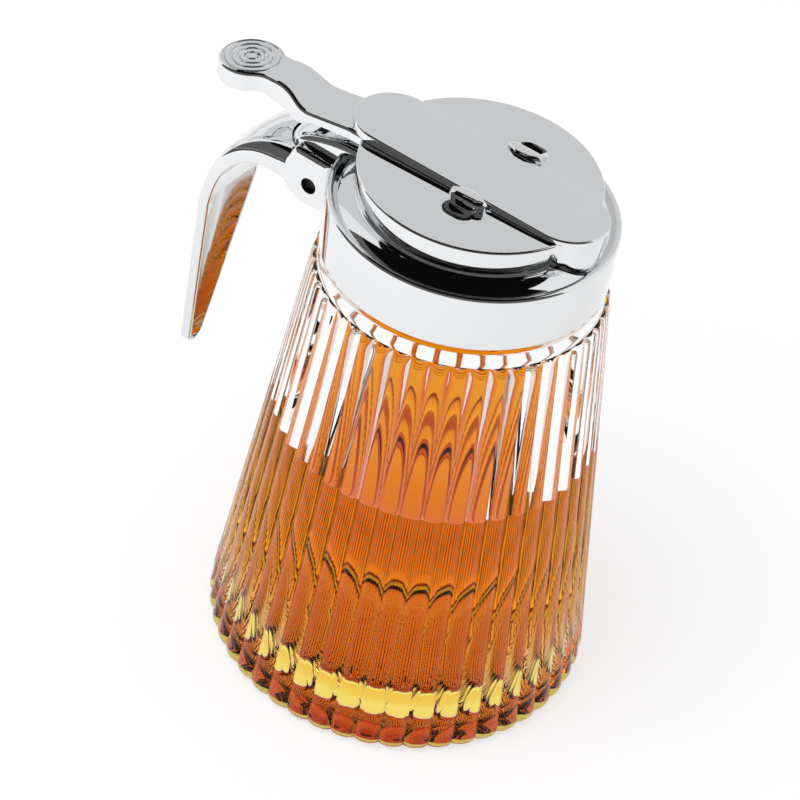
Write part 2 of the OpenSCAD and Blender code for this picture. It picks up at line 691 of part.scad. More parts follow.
module handle() {
    color([0.8, 0.8, 0.81]) difference() {
        union() {
            difference() {
                intersection() {
                    side_plate(handle_half_w) handle_side();
                    rotate([90, 0, 90]) translate([0, 0, -far]) linear_extrude(far)
                        grip_front(0, disc_z);
                }
                for (side = [0, 1]) mirror([0, side, 0]) edge_round(arch_stations, handle_half_w);
            }
            difference() {
                side_plate(handle_half_w) ear_side();
                for (side = [0, 1]) mirror([0, side, 0]) edge_round(ear_stations, handle_half_w);
            }
        }
        // slot for the bracket, with a round end
        translate([0, 0, tip_z]) linear_extrude(far) {
            bracket_plan(ear_gap);
            translate([-bracket_end_x, -bracket_w / 2 - ear_gap])
                square([bracket_end_x, bracket_w + 2 * ear_gap]);
        }
        // hollow in the grip's inner face
        intersection() {
            side_plate(handle_half_w) polygon([[-grip_x + grip_t - hollow_d, hollow_z],
                [-tip_x + grip_t - hollow_d, tip_z], [-pin_x, tip_z], [-pin_x, hollow_z]]);
            rotate([90, 0, 90]) translate([0, 0, -far]) linear_extrude(far)
                grip_front(lip_w, hollow_z);
        }
        translate([-pin_x, far, pin_z]) rotate([90, 0, 0]) cylinder(h = 2 * far, r = pin_r);
    }
}

module handle_pin() {
    half = handle_half_w - pin_recess;
    color([0.35, 0.35, 0.36]) translate([-pin_x, half, pin_z]) rotate([90, 0, 0])
        cylinder(h = 2 * half, r = pin_r);
}

glass_jar();
honey_fill();
neck_gasket();
thread_liner();
lid_casting();
cutoff_slide();
thumb_lever();
lever_rivets();
return_spring();
handle();
handle_pin();
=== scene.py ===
# %% [markdown]
# # A honey dispenser, dressed for its picture
# The construction comes from the CAD frame: a ribbed glass jar, a screw-on lid of chromed
# zinc, a cut-off slide with its thumb lever, and a handle pinned to the lid. This notebook
# gives those pieces the smooth, rounded shapes and the finishes of the real ones. The frame
# is loaded first. No new piece may reach outside it.

# %% Load the frame
from math import acos, atan2, cos, degrees, pi, radians, sin, sqrt, tan

import bmesh
import bpy
from mathutils import Matrix, Vector


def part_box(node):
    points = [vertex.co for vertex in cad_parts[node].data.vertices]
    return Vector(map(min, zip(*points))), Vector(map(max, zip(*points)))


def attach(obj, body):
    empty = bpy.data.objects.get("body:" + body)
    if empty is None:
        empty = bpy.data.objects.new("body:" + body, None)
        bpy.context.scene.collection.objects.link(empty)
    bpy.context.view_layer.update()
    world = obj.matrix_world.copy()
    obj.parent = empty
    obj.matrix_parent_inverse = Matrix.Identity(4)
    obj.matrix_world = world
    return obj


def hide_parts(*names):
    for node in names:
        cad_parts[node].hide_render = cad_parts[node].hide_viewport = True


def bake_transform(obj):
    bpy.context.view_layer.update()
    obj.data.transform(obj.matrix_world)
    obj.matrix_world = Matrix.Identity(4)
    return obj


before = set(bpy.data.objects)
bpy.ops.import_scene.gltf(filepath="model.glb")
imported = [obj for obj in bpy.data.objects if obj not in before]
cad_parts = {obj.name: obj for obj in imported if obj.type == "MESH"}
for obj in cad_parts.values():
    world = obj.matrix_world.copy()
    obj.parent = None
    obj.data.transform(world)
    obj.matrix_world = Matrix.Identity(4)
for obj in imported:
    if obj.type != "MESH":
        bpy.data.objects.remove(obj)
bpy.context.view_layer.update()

scene = bpy.context.scene
scene.view_settings.view_transform = "Standard"

# %% [markdown]
# ## Sizes
# Blender works in metres here, but a table dispenser is thought of in millimetres. All sizes
# below are in millimetres and `MM` turns them into metres. Where the frame knows a size it is
# read from the frame, so that a new piece always lies where the CAD node lies.

# %% Sizes read from the frame
MM = 0.001


def cad_range(node):
    """Lowest and highest corner of a CAD node, in millimetres."""
    low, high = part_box(node)
    return low / MM, high / MM


lid_low, lid_high = cad_range("lid_casting")
slide_low, slide_high = cad_range("cutoff_slide")
lever_low, lever_high = cad_range("thumb_lever")
handle_low, handle_high = cad_range("handle")
pin_low, pin_high = cad_range("handle_pin")
spring_low, spring_high = cad_range("return_spring")

RIM_Z = cad_range("glass_jar")[1].z
HONEY_Z = cad_range("honey_fill")[1].z
PLATE_Z = cad_range("neck_gasket")[1].z
LINER_R = cad_range("thread_liner")[1].y
COLLAR_R = lid_high.y
COLLAR_Z = lid_low.z
PIN_X = -(pin_low.x + pin_high.x) / 2
PIN_Z = (pin_low.z + pin_high.z) / 2
PIN_R = (pin_high.z - pin_low.z) / 2
SLIDE_W = slide_high.y - slide_low.y
SLIDE_TOP_Z = slide_high.z
print("rim", round(RIM_Z, 2), "collar radius", round(COLLAR_R, 2), "honey level", round(HONEY_Z, 2))

# %% [markdown]
# ## Camera
# The photograph looks down on the jar at 42 degrees, from the front right, with a long lens,
# and the camera leans, so the jar seems to tip over to the left. The camera is built
# from its three directions: `back` points from the jar to the lens, and `right` and `up` are
# turned about it by the lean.

# %% The camera
CAMERA_AZIMUTH = 28.3
CAMERA_ELEVATION = 41.96
CAMERA_DISTANCE = 598.7
CAMERA_LEAN = 10.48
CAMERA_TARGET = (-8.69, 0, 59.59)
CAMERA_LENS = 124.85


def direction(azimuth, elevation=0):
    """From the jar outward: azimuth 0 is the front and 90 the right, both angles in degrees."""
    across, over = radians(azimuth), radians(elevation)
    return Vector((sin(across) * cos(over), -cos(across) * cos(over), sin(over)))


def add_camera():
    lean = radians(CAMERA_LEAN)
    back = direction(CAMERA_AZIMUTH, CAMERA_ELEVATION)
    level = direction(CAMERA_AZIMUTH + 90)
    over = back.cross(level)
    right = level * cos(lean) + over * sin(lean)
    up = over * cos(lean) - level * sin(lean)
    camera = bpy.data.objects.new("camera", bpy.data.cameras.new("camera"))
    scene.collection.objects.link(camera)
    turn = Matrix((right, up, back)).transposed().to_4x4()
    place = Vector(CAMERA_TARGET) * MM + back * CAMERA_DISTANCE * MM
    camera.matrix_world = Matrix.Translation(place) @ turn
    camera.data.lens = CAMERA_LENS
    camera.data.clip_start = 0.01
    scene.camera = camera
    return place


camera_place = add_camera()
print("camera at", [round(value / MM) for value in camera_place], "mm")

# %% [markdown]
# ## Ways of working
# Every new piece starts from a primitive and is shaped in edit mode. Operators act on all that
# is selected, so each piece begins with nothing selected. The helpers below do what a hand
# would do: start a piece, pick vertices, edges or faces by their place, draw a chain of
# vertices, bend a grid, wind a coil, and cut or join pieces with a Boolean modifier that is
# applied at once.

# %% Starting and selecting
def start_piece(name, add, **settings):
    bpy.ops.object.select_all(action="DESELECT")
    add(**settings)
    piece = bpy.context.object
    piece.name = name
    piece.data.name = name
    return piece


def rod(name, vertices, r, length, place, turn=(0, 0, 0)):
    """A cylinder with its middle at a place in millimetres."""
    return start_piece(name, bpy.ops.mesh.primitive_cylinder_add, vertices=vertices, radius=r * MM,
                       depth=length * MM, location=[value * MM for value in place], rotation=turn)


def sheet(name, columns, rows, place):
    """A grid from -1 to 1 both ways, whose vertices go to place(u, v) in millimetres."""
    piece = start_piece(name, bpy.ops.mesh.primitive_grid_add, x_subdivisions=columns,
                        y_subdivisions=rows, size=2)
    for vert in piece.data.vertices:
        vert.co = Vector(place(vert.co.x, vert.co.y)) * MM
    return piece


def entry(items, share):
    """The entry of a list that a sheet's vertex belongs to, by its share from -1 to 1."""
    return items[round((share + 1) / 2 * (len(items) - 1))]


def only(piece):
    """Selects the piece alone and makes it the active one."""
    bpy.ops.object.select_all(action="DESELECT")
    piece.select_set(True)
    bpy.context.view_layer.objects.active = piece


def edit(piece):
    only(piece)
    bpy.ops.object.mode_set(mode="EDIT")
    bpy.ops.mesh.select_all(action="SELECT")


def done():
    bpy.ops.object.mode_set(mode="OBJECT")


def set_down(piece):
    """Applies the place and turn that a primitive was added with."""
    only(piece)
    bpy.ops.object.transform_apply(location=True, rotation=True, scale=True)


def close_shell():
    """Turns all faces outward and leaves edit mode."""
    bpy.ops.mesh.select_all(action="SELECT")
    bpy.ops.mesh.normals_make_consistent(inside=False)
    done()


def pick(piece, kind, test):
    """Selects what passes the test: a function of a place in millimetres (and a face's normal)."""
    bpy.ops.mesh.select_mode(type=kind)
    bpy.ops.mesh.select_all(action="DESELECT")
    mesh = bmesh.from_edit_mesh(piece.data)
    if kind == "VERT":
        found = [vert for vert in mesh.verts if test(vert.co / MM)]
    elif kind == "EDGE":
        found = [edge for edge in mesh.edges if test(edge.verts[0].co / MM, edge.verts[1].co / MM)]
    else:
        found = [face for face in mesh.faces if test(face.calc_center_median() / MM, face.normal)]
    for part in found:
        part.select_set(True)
    mesh.select_flush(True)
    bmesh.update_edit_mesh(piece.data)
    return len(found)

# %% Drawing and finishing
WIRE_SIDES = 10


def extrude(x, y, z):
    """Extrudes what is selected by a step in metres."""
    bpy.ops.mesh.extrude_region_move(TRANSFORM_OT_translate={"value": (x, y, z)})


def draw(name, points, closed=False):
    """A chain of vertices through points in millimetres, extruded one after the other."""
    piece = start_piece(name, bpy.ops.mesh.primitive_plane_add, size=MM)
    edit(piece)
    bpy.ops.mesh.select_mode(type="VERT")
    bpy.ops.mesh.merge(type="CENTER")
    bpy.ops.transform.translate(value=Vector(points[0]) * MM)
    for here, there in zip(points, points[1:]):
        extrude(*(Vector(there) - Vector(here)) * MM)
    bpy.ops.mesh.select_all(action="SELECT")
    if closed:
        bpy.ops.mesh.edge_face_add()
    return piece


def turned(name, profile, steps=192):
    """A turned piece: its profile of (radius, height) pairs is spun once round the Z axis."""
    piece = draw(name, [(r, 0, z) for r, z in profile])
    bpy.ops.mesh.spin(steps=steps, angle=2 * pi, center=(0, 0, 0), axis=(0, 0, 1))
    bpy.ops.mesh.select_all(action="SELECT")
    bpy.ops.mesh.remove_doubles(threshold=0.002 * MM)
    close_shell()
    return piece


def plate(name, outline, low, high, side=False):
    """An outline extruded upward from height low to high, or sideways from y low to high."""
    step = (high - low) * MM
    piece = draw(name, [(a, low, b) if side else (a, b, low) for a, b in outline], closed=True)
    extrude(0, step if side else 0, 0 if side else step)
    close_shell()
    return piece


def box(name, x0, x1, half_y, z0, z1):
    """A box between two places along X and Z, centred on the middle plane."""
    return plate(name, [(x0, -half_y), (x1, -half_y), (x1, half_y), (x0, half_y)], z0, z1)


def wire_end(name, radius, place, turn=(0, 0, 0)):
    """The ring of vertices that a wire starts with, at a place in millimetres, in edit mode."""
    ring = start_piece(name, bpy.ops.mesh.primitive_circle_add, vertices=WIRE_SIDES, radius=radius * MM,
                       location=[value * MM for value in place], rotation=turn)
    set_down(ring)
    edit(ring)
    return ring


def wind(steps, shift, angle, axis, middle):
    """Extrudes the selected ring along a coil, by a shift and a turn in each step."""
    for _ in range(steps):
        extrude(*shift)
        bpy.ops.transform.rotate(value=-angle, orient_axis=axis, center_override=middle)


def cap_ends(piece):
    """Closes the two open ends of a tube."""
    pick(piece, "EDGE", lambda a, b: False)
    bpy.ops.mesh.select_non_manifold()
    bpy.ops.mesh.fill_holes(sides=0)
    close_shell()


def combine(piece, other, operation):
    """Joins other to the piece, or cuts it away, and deletes it."""
    only(piece)
    modifier = piece.modifiers.new("combine", "BOOLEAN")
    modifier.operation = operation
    modifier.solver = "EXACT"
    modifier.object = other
    bpy.ops.object.modifier_apply(modifier=modifier.name)
    bpy.data.objects.remove(other)


def bevel_edges(piece, width, segments, test):
    """Rounds the edges that pass the test over a width in millimetres."""
    edit(piece)
    pick(piece, "EDGE", test)
    bpy.ops.mesh.bevel(offset=width * MM, segments=segments, affect="EDGES")
    done()


def slice_across(piece, places):
    """Cuts the piece across X at the given places, so that it can follow a curve."""
    edit(piece)
    for x in places:
        bpy.ops.mesh.select_all(action="SELECT")
        bpy.ops.mesh.bisect(plane_co=(x * MM, 0, 0), plane_no=(1, 0, 0))
    done()


def tell(what, piece):
    print(what + ":", len(piece.data.polygons), "faces")


def smooth(piece, angle):
    only(piece)
    bpy.ops.object.shade_smooth_by_angle(angle=radians(angle))


def dress(piece, angle, body, slot, finish, *nodes):
    """Gives a finished piece its shading, material and body, and hides the CAD nodes that it stands for.
    """
    smooth(piece, angle)
    piece.data.materials.clear()
    piece.data.materials.append(finish)
    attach(piece, body)
    if nodes:
        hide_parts(*nodes)
    print(piece.name, "rides on", body, "with", len(piece.data.polygons), "faces")


def paint(piece, finish, test):
    """Gives the faces that pass the test another material."""
    edit(piece)
    found = pick(piece, "FACE", test)
    piece.data.materials.append(finish)
    piece.active_material_index = len(piece.data.materials) - 1
    bpy.ops.object.material_slot_assign()
    done()
    print(found, "faces of", piece.name, "take", finish.name)

# %% Outlines
def arc(x, y, r, start, end, steps):
    """Points on an arc, with its angles in degrees."""
    turns = [radians(start + (end - start) * i / steps) for i in range(steps + 1)]
    return [(x + r * cos(turn), y + r * sin(turn)) for turn in turns]


def curve(a, b, c, d, steps):
    """Points on the curve that leaves a toward b and reaches d from c."""
    points = []
    for i in range(steps + 1):
        t = i / steps
        s = 1 - t
        weights = (s ** 3, 3 * s * s * t, 3 * s * t * t, t ** 3)
        points.append(tuple(sum(w * p[k] for w, p in zip(weights, (a, b, c, d))) for k in (0, 1)))
    return points


def rounded(corners, steps=5):
    """An outline through corners (x, y, radius), where a radius above 0 becomes an arc."""
    points = []
    for i, corner in enumerate(corners):
        here = Vector(corner[:2])
        radius = corner[2] if len(corner) > 2 else 0
        if radius == 0:
            points.append(tuple(here))
            continue
        before = (Vector(corners[i - 1][:2]) - here).normalized()
        after = (Vector(corners[(i + 1) % len(corners)][:2]) - here).normalized()
        half = acos(max(-1, min(1, before.dot(after)))) / 2
        reach = radius / tan(half)
        middle = here + (before + after).normalized() * radius / sin(half)
        a, b = here + before * reach - middle, here + after * reach - middle
        start = atan2(a.y, a.x)
        sweep = (atan2(b.y, b.x) - start + pi) % (2 * pi) - pi
        for k in range(steps + 1):
            turn = start + sweep * k / steps
            points.append((middle.x + radius * cos(turn), middle.y + radius * sin(turn)))
    return points

# %% [markdown]
# ## Materials
# Colours are sRGB hex values, as a colour picker shows them, and one function turns them to the
# linear values that Blender works in. One helper adds a node with its settings and links.
# Patterns are scaled from real sizes: a noise of scale 1000 / s on Object coordinates has
# features about s millimetres across.

# %% Colour and node helpers
WHITE = (1, 1, 1, 1)


def linear(hex_colour):
    values = [int(hex_colour[i:i + 2], 16) / 255 for i in (1, 3, 5)]
    return [v / 12.92 if v <= 0.04045 else ((v + 0.055) / 1.055) ** 2.4 for v in values] + [1]


def add_node(tree, kind, inputs=None, **settings):
    """Adds a shader node. An input is a value, or the output socket of another node."""
    node = tree.nodes.new("ShaderNode" + kind)
    for name, value in settings.items():
        setattr(node, name, value)
    for name, value in (inputs or {}).items():
        if isinstance(value, bpy.types.NodeSocket):
            tree.links.new(value, node.inputs[name])
        else:
            node.inputs[name].default_value = value
    return node


def give_out(tree, result, kind):
    tree.links.new(result, tree.nodes["Material Output"].inputs[kind])


def mix_colours(tree, share, first, second):
    return add_node(tree, "Mix", {"Factor": share, "A": first, "B": second},
                    data_type="RGBA").outputs["Result"]


def mix_shaders(tree, share, first, second):
    return add_node(tree, "MixShader", {"Fac": share, 1: first, 2: second}).outputs[0]


def glow(tree, strength, colour=WHITE, kind="Emission"):
    return add_node(tree, kind, {"Color": colour, "Strength": strength}).outputs[0]


def new_material(name, colour="#FFFFFF", **inputs):
    """A material with one Principled shader, whose inputs are set by name."""
    material = bpy.data.materials.new(name)
    material.use_nodes = True
    tree = material.node_tree
    shader = tree.nodes["Principled BSDF"]
    shader.inputs["Base Color"].default_value = linear(colour)
    for key, value in inputs.items():
        shader.inputs[key.replace("_", " ")].default_value = value
    return material, tree, shader


def noise(tree, size_mm, detail, stretch=(1, 1, 1)):
    """Noise with features size_mm across, stretched along the axes."""
    place = add_node(tree, "TexCoord")
    scaled = add_node(tree, "Mapping", {"Vector": place.outputs["Object"], "Scale": stretch})
    return add_node(tree, "TexNoise", {"Vector": scaled.outputs["Vector"], "Detail": detail,
                                                 "Scale": 1000 / size_mm}).outputs["Fac"]


def roughen(tree, shader, pattern, shares, values):
    """Lets the roughness run between two values while the pattern runs between two shares."""
    rough = add_node(tree, "MapRange", {"Value": pattern, "From Min": shares[0],
                                                  "From Max": shares[1], "To Min": values[0],
                                                  "To Max": values[1]})
    tree.links.new(rough.outputs["Result"], shader.inputs["Roughness"])


def bump(tree, shader, height, depth_mm, strength):
    relief = add_node(tree, "Bump", {"Height": height, "Distance": depth_mm * MM,
                                               "Strength": strength})
    tree.links.new(relief.outputs["Normal"], shader.inputs["Normal"])


def grained(name, colour, size_mm, detail, depth_mm, strength, **inputs):
    """A material whose surface carries one fine pattern of noise."""
    material, tree, shader = new_material(name, colour, **inputs)
    bump(tree, shader, noise(tree, size_mm, detail), depth_mm, strength)
    return material

# %% [markdown]
# The lid, slide, lever and handle are **chromed zinc castings**. Chrome is a dark mirror beside
# silver: it gives back about three quarters of the light, evenly over all colours, so it is
# metallic 1 with a light grey. The plating is bright, and the polished casting under it waves
# very slightly over about a centimetre, which keeps the reflections from looking computed.

# %% Chrome plate
def make_chrome():
    material, tree, shader = new_material("chrome plate on polished zinc", Metallic=1.0)
    tint = mix_colours(tree, noise(tree, 14, 2), linear("#E4E5E6"), linear("#DEE0E2"))
    tree.links.new(tint, shader.inputs["Base Color"])
    roughen(tree, shader, noise(tree, 5, 4), (0.3, 0.75), (0.03, 0.07))
    bump(tree, shader, noise(tree, 9, 1), 0.02, 0.12)
    return material


chrome = make_chrome()
print(chrome.name)

# %% [markdown]
# The jar is **pressed soda-lime glass**: clear, with an index of 1.52. It was fire-polished
# after it left the mould, so it is glossy, but the mould leaves a slow waviness of a few
# millimetres that bends the light a little. The white room would veil the honey with its
# reflection in the glass, which the photograph doesn't show, so a grey specular tint tones
# that reflection down.

# %% Pressed glass
GLASS_GLARE = "#5A5A5A"

glass = grained("pressed soda-lime glass", "#FDFEFD", 7, 2, 0.1, 0.2, Roughness=0.0, IOR=1.52,
                Transmission_Weight=1.0, Specular_Tint=linear(GLASS_GLARE))
wetted_glass = new_material("glass wetted by honey", Roughness=0.0, IOR=1.0, Transmission_Weight=1.0)[0]
print(glass.name, "and", wetted_glass.name)

# %% [markdown]
# **Honey** is a clear amber liquid of index 1.49. Its surface has no colour of its own: the
# colour grows with the depth that light crosses, from yellow in a thin layer to red-brown in a
# thick one. Volume Absorption does that. Its density is in 1/m, so at 85 the light loses most
# of its blue in the first centimetre and keeps most of its red across the whole jar.

# %% Honey
HONEY_DENSITY = 85
HONEY_AMBER = (0.955, 0.705, 0.03, 1)


def make_honey(name, index):
    material, tree, shader = new_material(name, Roughness=0.0, IOR=index, Transmission_Weight=1.0,
                                          Specular_Tint=linear(GLASS_GLARE))
    depth = add_node(tree, "VolumeAbsorption", {"Color": HONEY_AMBER, "Density": HONEY_DENSITY})
    give_out(tree, depth.outputs["Volume"], "Volume")
    return material


honey_finish = make_honey("clear amber honey", 1.49)
honey_skin = make_honey("honey against the glass", 1.0)
print(honey_finish.name, "and", honey_skin.name)

# %% [markdown]
# Inside the closure there is a **moulded polypropylene** liner, a **silicone** ring and
# **drawn steel** for the spring, the rivets and the pin. They show little, but each still
# gets its own surface: a fine moulded grain, a soft matt skin, and lines along the wire.

# %% Plastic, silicone and steel
def make_steel(name, colour, stretch):
    material, tree, shader = new_material(name, colour, Metallic=1.0)
    lines = noise(tree, 0.6, 3, stretch)
    roughen(tree, shader, lines, (0.3, 0.7), (0.2, 0.42))
    bump(tree, shader, lines, 0.01, 0.3)
    return material


plastic = grained("moulded polypropylene", "#EDECE6", 0.5, 4, 0.02, 0.4, Roughness=0.42, IOR=1.49)
silicone = grained("food-grade silicone", "#DEDCD4", 0.9, 3, 0.02, 0.3, Roughness=0.6, IOR=1.41)
spring_steel = make_steel("drawn spring steel", "#A9ABAE", (1, 1, 1))
pin_steel = make_steel("turned dark steel", "#2C2D30", (0.2, 1, 1))
print(plastic.name, silicone.name, spring_steel.name, pin_steel.name)

# %% [markdown]
# ## The glass jar
# The jar flares down from the neck and carries 48 round ribs, like a fluted column turned
# inside out. One rib is modelled as a strip, from valley to valley, that rounds off at its top
# end and over the heel, and it is then spun round the axis 48 times. The rest of the jar is
# plain: from the top edge of the ribs the wall is extruded, ring by ring, over the shoulder and
# the rim, down the inside to the thick floor, so that the whole jar is one closed shell. Light
# needs that closed shell to bend the right way. Under the base the glass is dished, as pressed
# glass is: a flat base would keep the light in, while the slanted ring of the dish lets the
# bright crescent of the photograph out.

# %% One rib
RIB_COUNT = 48
RIB_RISE = 1.0
RIB_CELLS = 8
RIB_ARC = 1.05
RIB_TOP_R = COLLAR_R + 1
RIB_TOP_Z = 101.5
RIB_DOME = 2.2
BASE_R = 42.9
HEEL_R = 2.4


def crest_r(z):
    """Radius over the ribs at height z: the jar's straight flare."""
    return BASE_R + (RIB_TOP_R - BASE_R) * (z - HEEL_R) / (RIB_TOP_Z - HEEL_R)


def rib_share(u):
    """Share of the rise across a rib, from -1 to 1: an arc between two sharp valleys."""
    edge = sqrt(RIB_ARC ** 2 - 1)
    return (sqrt(RIB_ARC ** 2 - u * u) - edge) / (RIB_ARC - edge)


heel = [(HEEL_R * (1 - cos(a)), crest_r(HEEL_R) - HEEL_R * (1 - sin(a)), 0.5 + 0.5 * sin(a))
        for a in [radians(15 * i) for i in range(7)]]
wall = [(z, crest_r(z), 1.0) for z in range(10, 99, 8)]
dome = [(RIB_TOP_Z - RIB_DOME * (1 - t), crest_r(RIB_TOP_Z - RIB_DOME * (1 - t)), sqrt(1 - t * t))
        for t in (0, 0.3, 0.55, 0.75, 0.9, 0.97, 1)]
rib_rings = heel + wall + dome


def rib_place(u, v):
    z, crest, rise = entry(rib_rings, v)
    r = crest - RIB_RISE * (1 - rise * rib_share(u))
    angle = pi / RIB_COUNT * (u + 1)
    return r * cos(angle), r * sin(angle), z


jar = sheet("ribbed_jar", RIB_CELLS, len(rib_rings) - 1, rib_place)
print("one rib:", len(jar.data.vertices), "vertices")

# %% All ribs, then the plain rest of the jar
CAVITY_WALL = RIB_RISE + 3
FLOOR_Z = 9
FLOOR_ROUND = 4
LEDGE_Z = RIB_TOP_Z + 3.8
LINER_WALL = 1.25
THREAD_ROOM = 0.6
NECK_WALL = 2.6
NECK_R = LINER_R - LINER_WALL - THREAD_ROOM
BORE_R = NECK_R - NECK_WALL
CREEP = 0.5
FOOT_LIFT = 0.7
PUNT_IN_R = 20
PUNT_OUT_R = 29
PUNT_DEPTH = 5.2


def cavity_r(z):
    return crest_r(z) - CAVITY_WALL


def punt_z(r):
    """Height of the dish under the base: a soft S between its outer and its inner radius."""
    turn = pi * (PUNT_OUT_R - r) / (PUNT_OUT_R - PUNT_IN_R)
    return FOOT_LIFT + (PUNT_DEPTH - FOOT_LIFT) * (1 - cos(turn)) / 2


def grow_rings(piece, rings, start_r, start_z):
    """Extrudes the selected ring through (radius, height) pairs, scaling it to each radius."""
    r, z = start_r, start_z
    for next_r, next_z in rings:
        extrude(0, 0, (next_z - z) * MM)
        bpy.ops.transform.resize(value=(next_r / r, next_r / r, 1), center_override=(0, 0, next_z * MM))
        r, z = next_r, next_z
    bpy.ops.mesh.merge(type="CENTER")


corner_r = cavity_r(FLOOR_Z + FLOOR_ROUND) - FLOOR_ROUND
outside = rounded([(RIB_TOP_R - RIB_RISE, RIB_TOP_Z - 3, 0), (crest_r(LEDGE_Z) - RIB_RISE, LEDGE_Z, 0.8),
                   (NECK_R, LEDGE_Z, 0.6), (NECK_R, RIM_Z, 0.6), (BORE_R, RIM_Z, 0.6),
                   (BORE_R, LEDGE_Z - 0.5, 1.5), (cavity_r(RIB_TOP_Z - 2), RIB_TOP_Z - 2, 6),
                   (cavity_r(HONEY_Z + CREEP), HONEY_Z + CREEP, 0),
                   (cavity_r(FLOOR_Z + FLOOR_ROUND), FLOOR_Z + FLOOR_ROUND, 0)], steps=6)
inside = arc(corner_r, FLOOR_Z + FLOOR_ROUND, FLOOR_ROUND, 0, -90, 8)[1:]
wall_rings = outside[1:] + inside + [(r, FLOOR_Z) for r in (28, 20, 12, 6, 2)]
foot_r = crest_r(HEEL_R) - HEEL_R - RIB_RISE * 0.5
foot_rings = [(foot_r - 2, 0), (foot_r - 3, FOOT_LIFT)]
foot_rings += [(r, punt_z(r)) for r in range(PUNT_OUT_R, PUNT_IN_R - 1, -1)]
foot_rings += [(8, PUNT_DEPTH), (3, PUNT_DEPTH)]

edit(jar)
bpy.ops.mesh.spin(steps=RIB_COUNT, dupli=True, angle=2 * pi, center=(0, 0, 0), axis=(0, 0, 1))
bpy.ops.mesh.select_all(action="SELECT")
bpy.ops.mesh.remove_doubles(threshold=0.005 * MM)
pick(jar, "VERT", lambda p: p.z > RIB_TOP_Z - 0.001)
grow_rings(jar, wall_rings, crest_r(RIB_TOP_Z) - RIB_RISE, RIB_TOP_Z)
pick(jar, "VERT", lambda p: p.z < 0.001)
grow_rings(jar, foot_rings, foot_r, 0)
close_shell()
dress(jar, 40, "jar", "clear_glass", glass, "glass_jar")
paint(jar, wetted_glass, lambda p, n: FLOOR_Z - 0.5 < p.z < HONEY_Z + CREEP
      and sqrt(p.x ** 2 + p.y ** 2) < cavity_r(p.z) + 1)

# %% [markdown]
# The neck's **thread** is meant as a round bead that winds up it at 4 mm a turn and runs out at
# both ends: a small circle is extruded and turned step by step, and its ends are squeezed to a
# point. Known fault: painting the jar leaves Blender in face select mode, where a bare circle
# has nothing to select, so nothing is extruded and this piece is one tiny face. The thread is
# missing from the model.

# %% Neck thread
THREAD_PITCH = 4.0
THREAD_TURNS = 1.5
THREAD_R = 0.55
THREAD_STEPS = 144
THREAD_Z = LEDGE_Z + 2.6
THREAD_AXIS_R = NECK_R - 0.1


def add_neck_thread():
    bead = wire_end("neck_thread", THREAD_R, (THREAD_AXIS_R, 0, THREAD_Z), (pi / 2, 0, 0))
    step = 2 * pi * THREAD_TURNS / THREAD_STEPS
    wind(THREAD_STEPS, (0, 0, THREAD_PITCH * THREAD_TURNS / THREAD_STEPS * MM), step, "Z", (0, 0, 0))
    done()
    taper = 2 * pi / 12
    for index, vert in enumerate(bead.data.vertices):
        turn = index // WIRE_SIDES * step
        nearest_end = min(turn, 2 * pi * THREAD_TURNS - turn)
        share = min(1, sin(min(1, nearest_end / taper) * pi / 2) + 0.02)
        angle = atan2(vert.co.y, vert.co.x)
        height = THREAD_Z + THREAD_PITCH * turn / (2 * pi)
        middle = Vector((cos(angle) * THREAD_AXIS_R, sin(angle) * THREAD_AXIS_R, height)) * MM
        vert.co = middle + (vert.co - middle) * share
    edit(bead)
    cap_ends(bead)
    return bead


thread = add_neck_thread()
dress(thread, 60, "jar", "clear_glass", glass)

# %% [markdown]
# ## The honey
# Honey wets the glass, so there is no air between them, and as both bend light nearly the same,
# light passes from one to the other without a turn or a glint. So the honey's skin is set a
# tenth of a millimetre inside the glass wall and has an index of 1, and so have the faces of the
# wall that it wets. At the top the honey creeps up the wall in a small curve, the meniscus.

# %% Honey body
WETTING = 0.12
DIP = 0.35


def honey_profile():
    z, wall_r = HONEY_Z, cavity_r(HONEY_Z) + WETTING
    corner = arc(corner_r, FLOOR_Z + FLOOR_ROUND, FLOOR_ROUND + WETTING, -90, 0, 8)
    creep = curve((wall_r, z + CREEP), (wall_r - 0.5, z + 0.1), (wall_r - 1.2, z - 0.25),
                  (wall_r - 3.5, z - DIP), 8)
    return ([(r, FLOOR_Z - WETTING) for r in (0, 15, 30)] + corner + [(wall_r, z - 4)] + creep
            + [(r, z - DIP) for r in (20, 8, 0)])


honey = turned("honey", honey_profile())
dress(honey, 50, "jar", "honey", honey_finish, "honey_fill")
paint(honey, honey_skin, lambda p, n: p.z < HONEY_Z - 0.5)

# %% [markdown]
# ## The lid
# The lid is one casting: a collar with a bead round its top, a shoulder that swells up to a
# round drum, and a flat platform on the drum. All of that is round, so it is turned from one
# profile. A nose for the pour mouth stands out of the drum on one side and a bracket for the
# handle on the other; they are joined to the turned body with a Boolean, because on the real
# casting they are one metal.

# %% Turned body of the lid
DISC_Z = SLIDE_TOP_Z - 2.15
DISC_R = COLLAR_R - 5
DRUM_WALL = 2.0
ROOF_T = 2.6
PLATE_TOP_Z = PLATE_Z + 1.5
FOOT_Z = PLATE_TOP_Z + 2.2
DRUM_FOOT_R = DISC_R - 0.6
BEAD_R = 0.8
BEAD_X = COLLAR_R - BEAD_R
GROOVE_X = BEAD_X - BEAD_R - 0.25
EDGE_R = 0.45


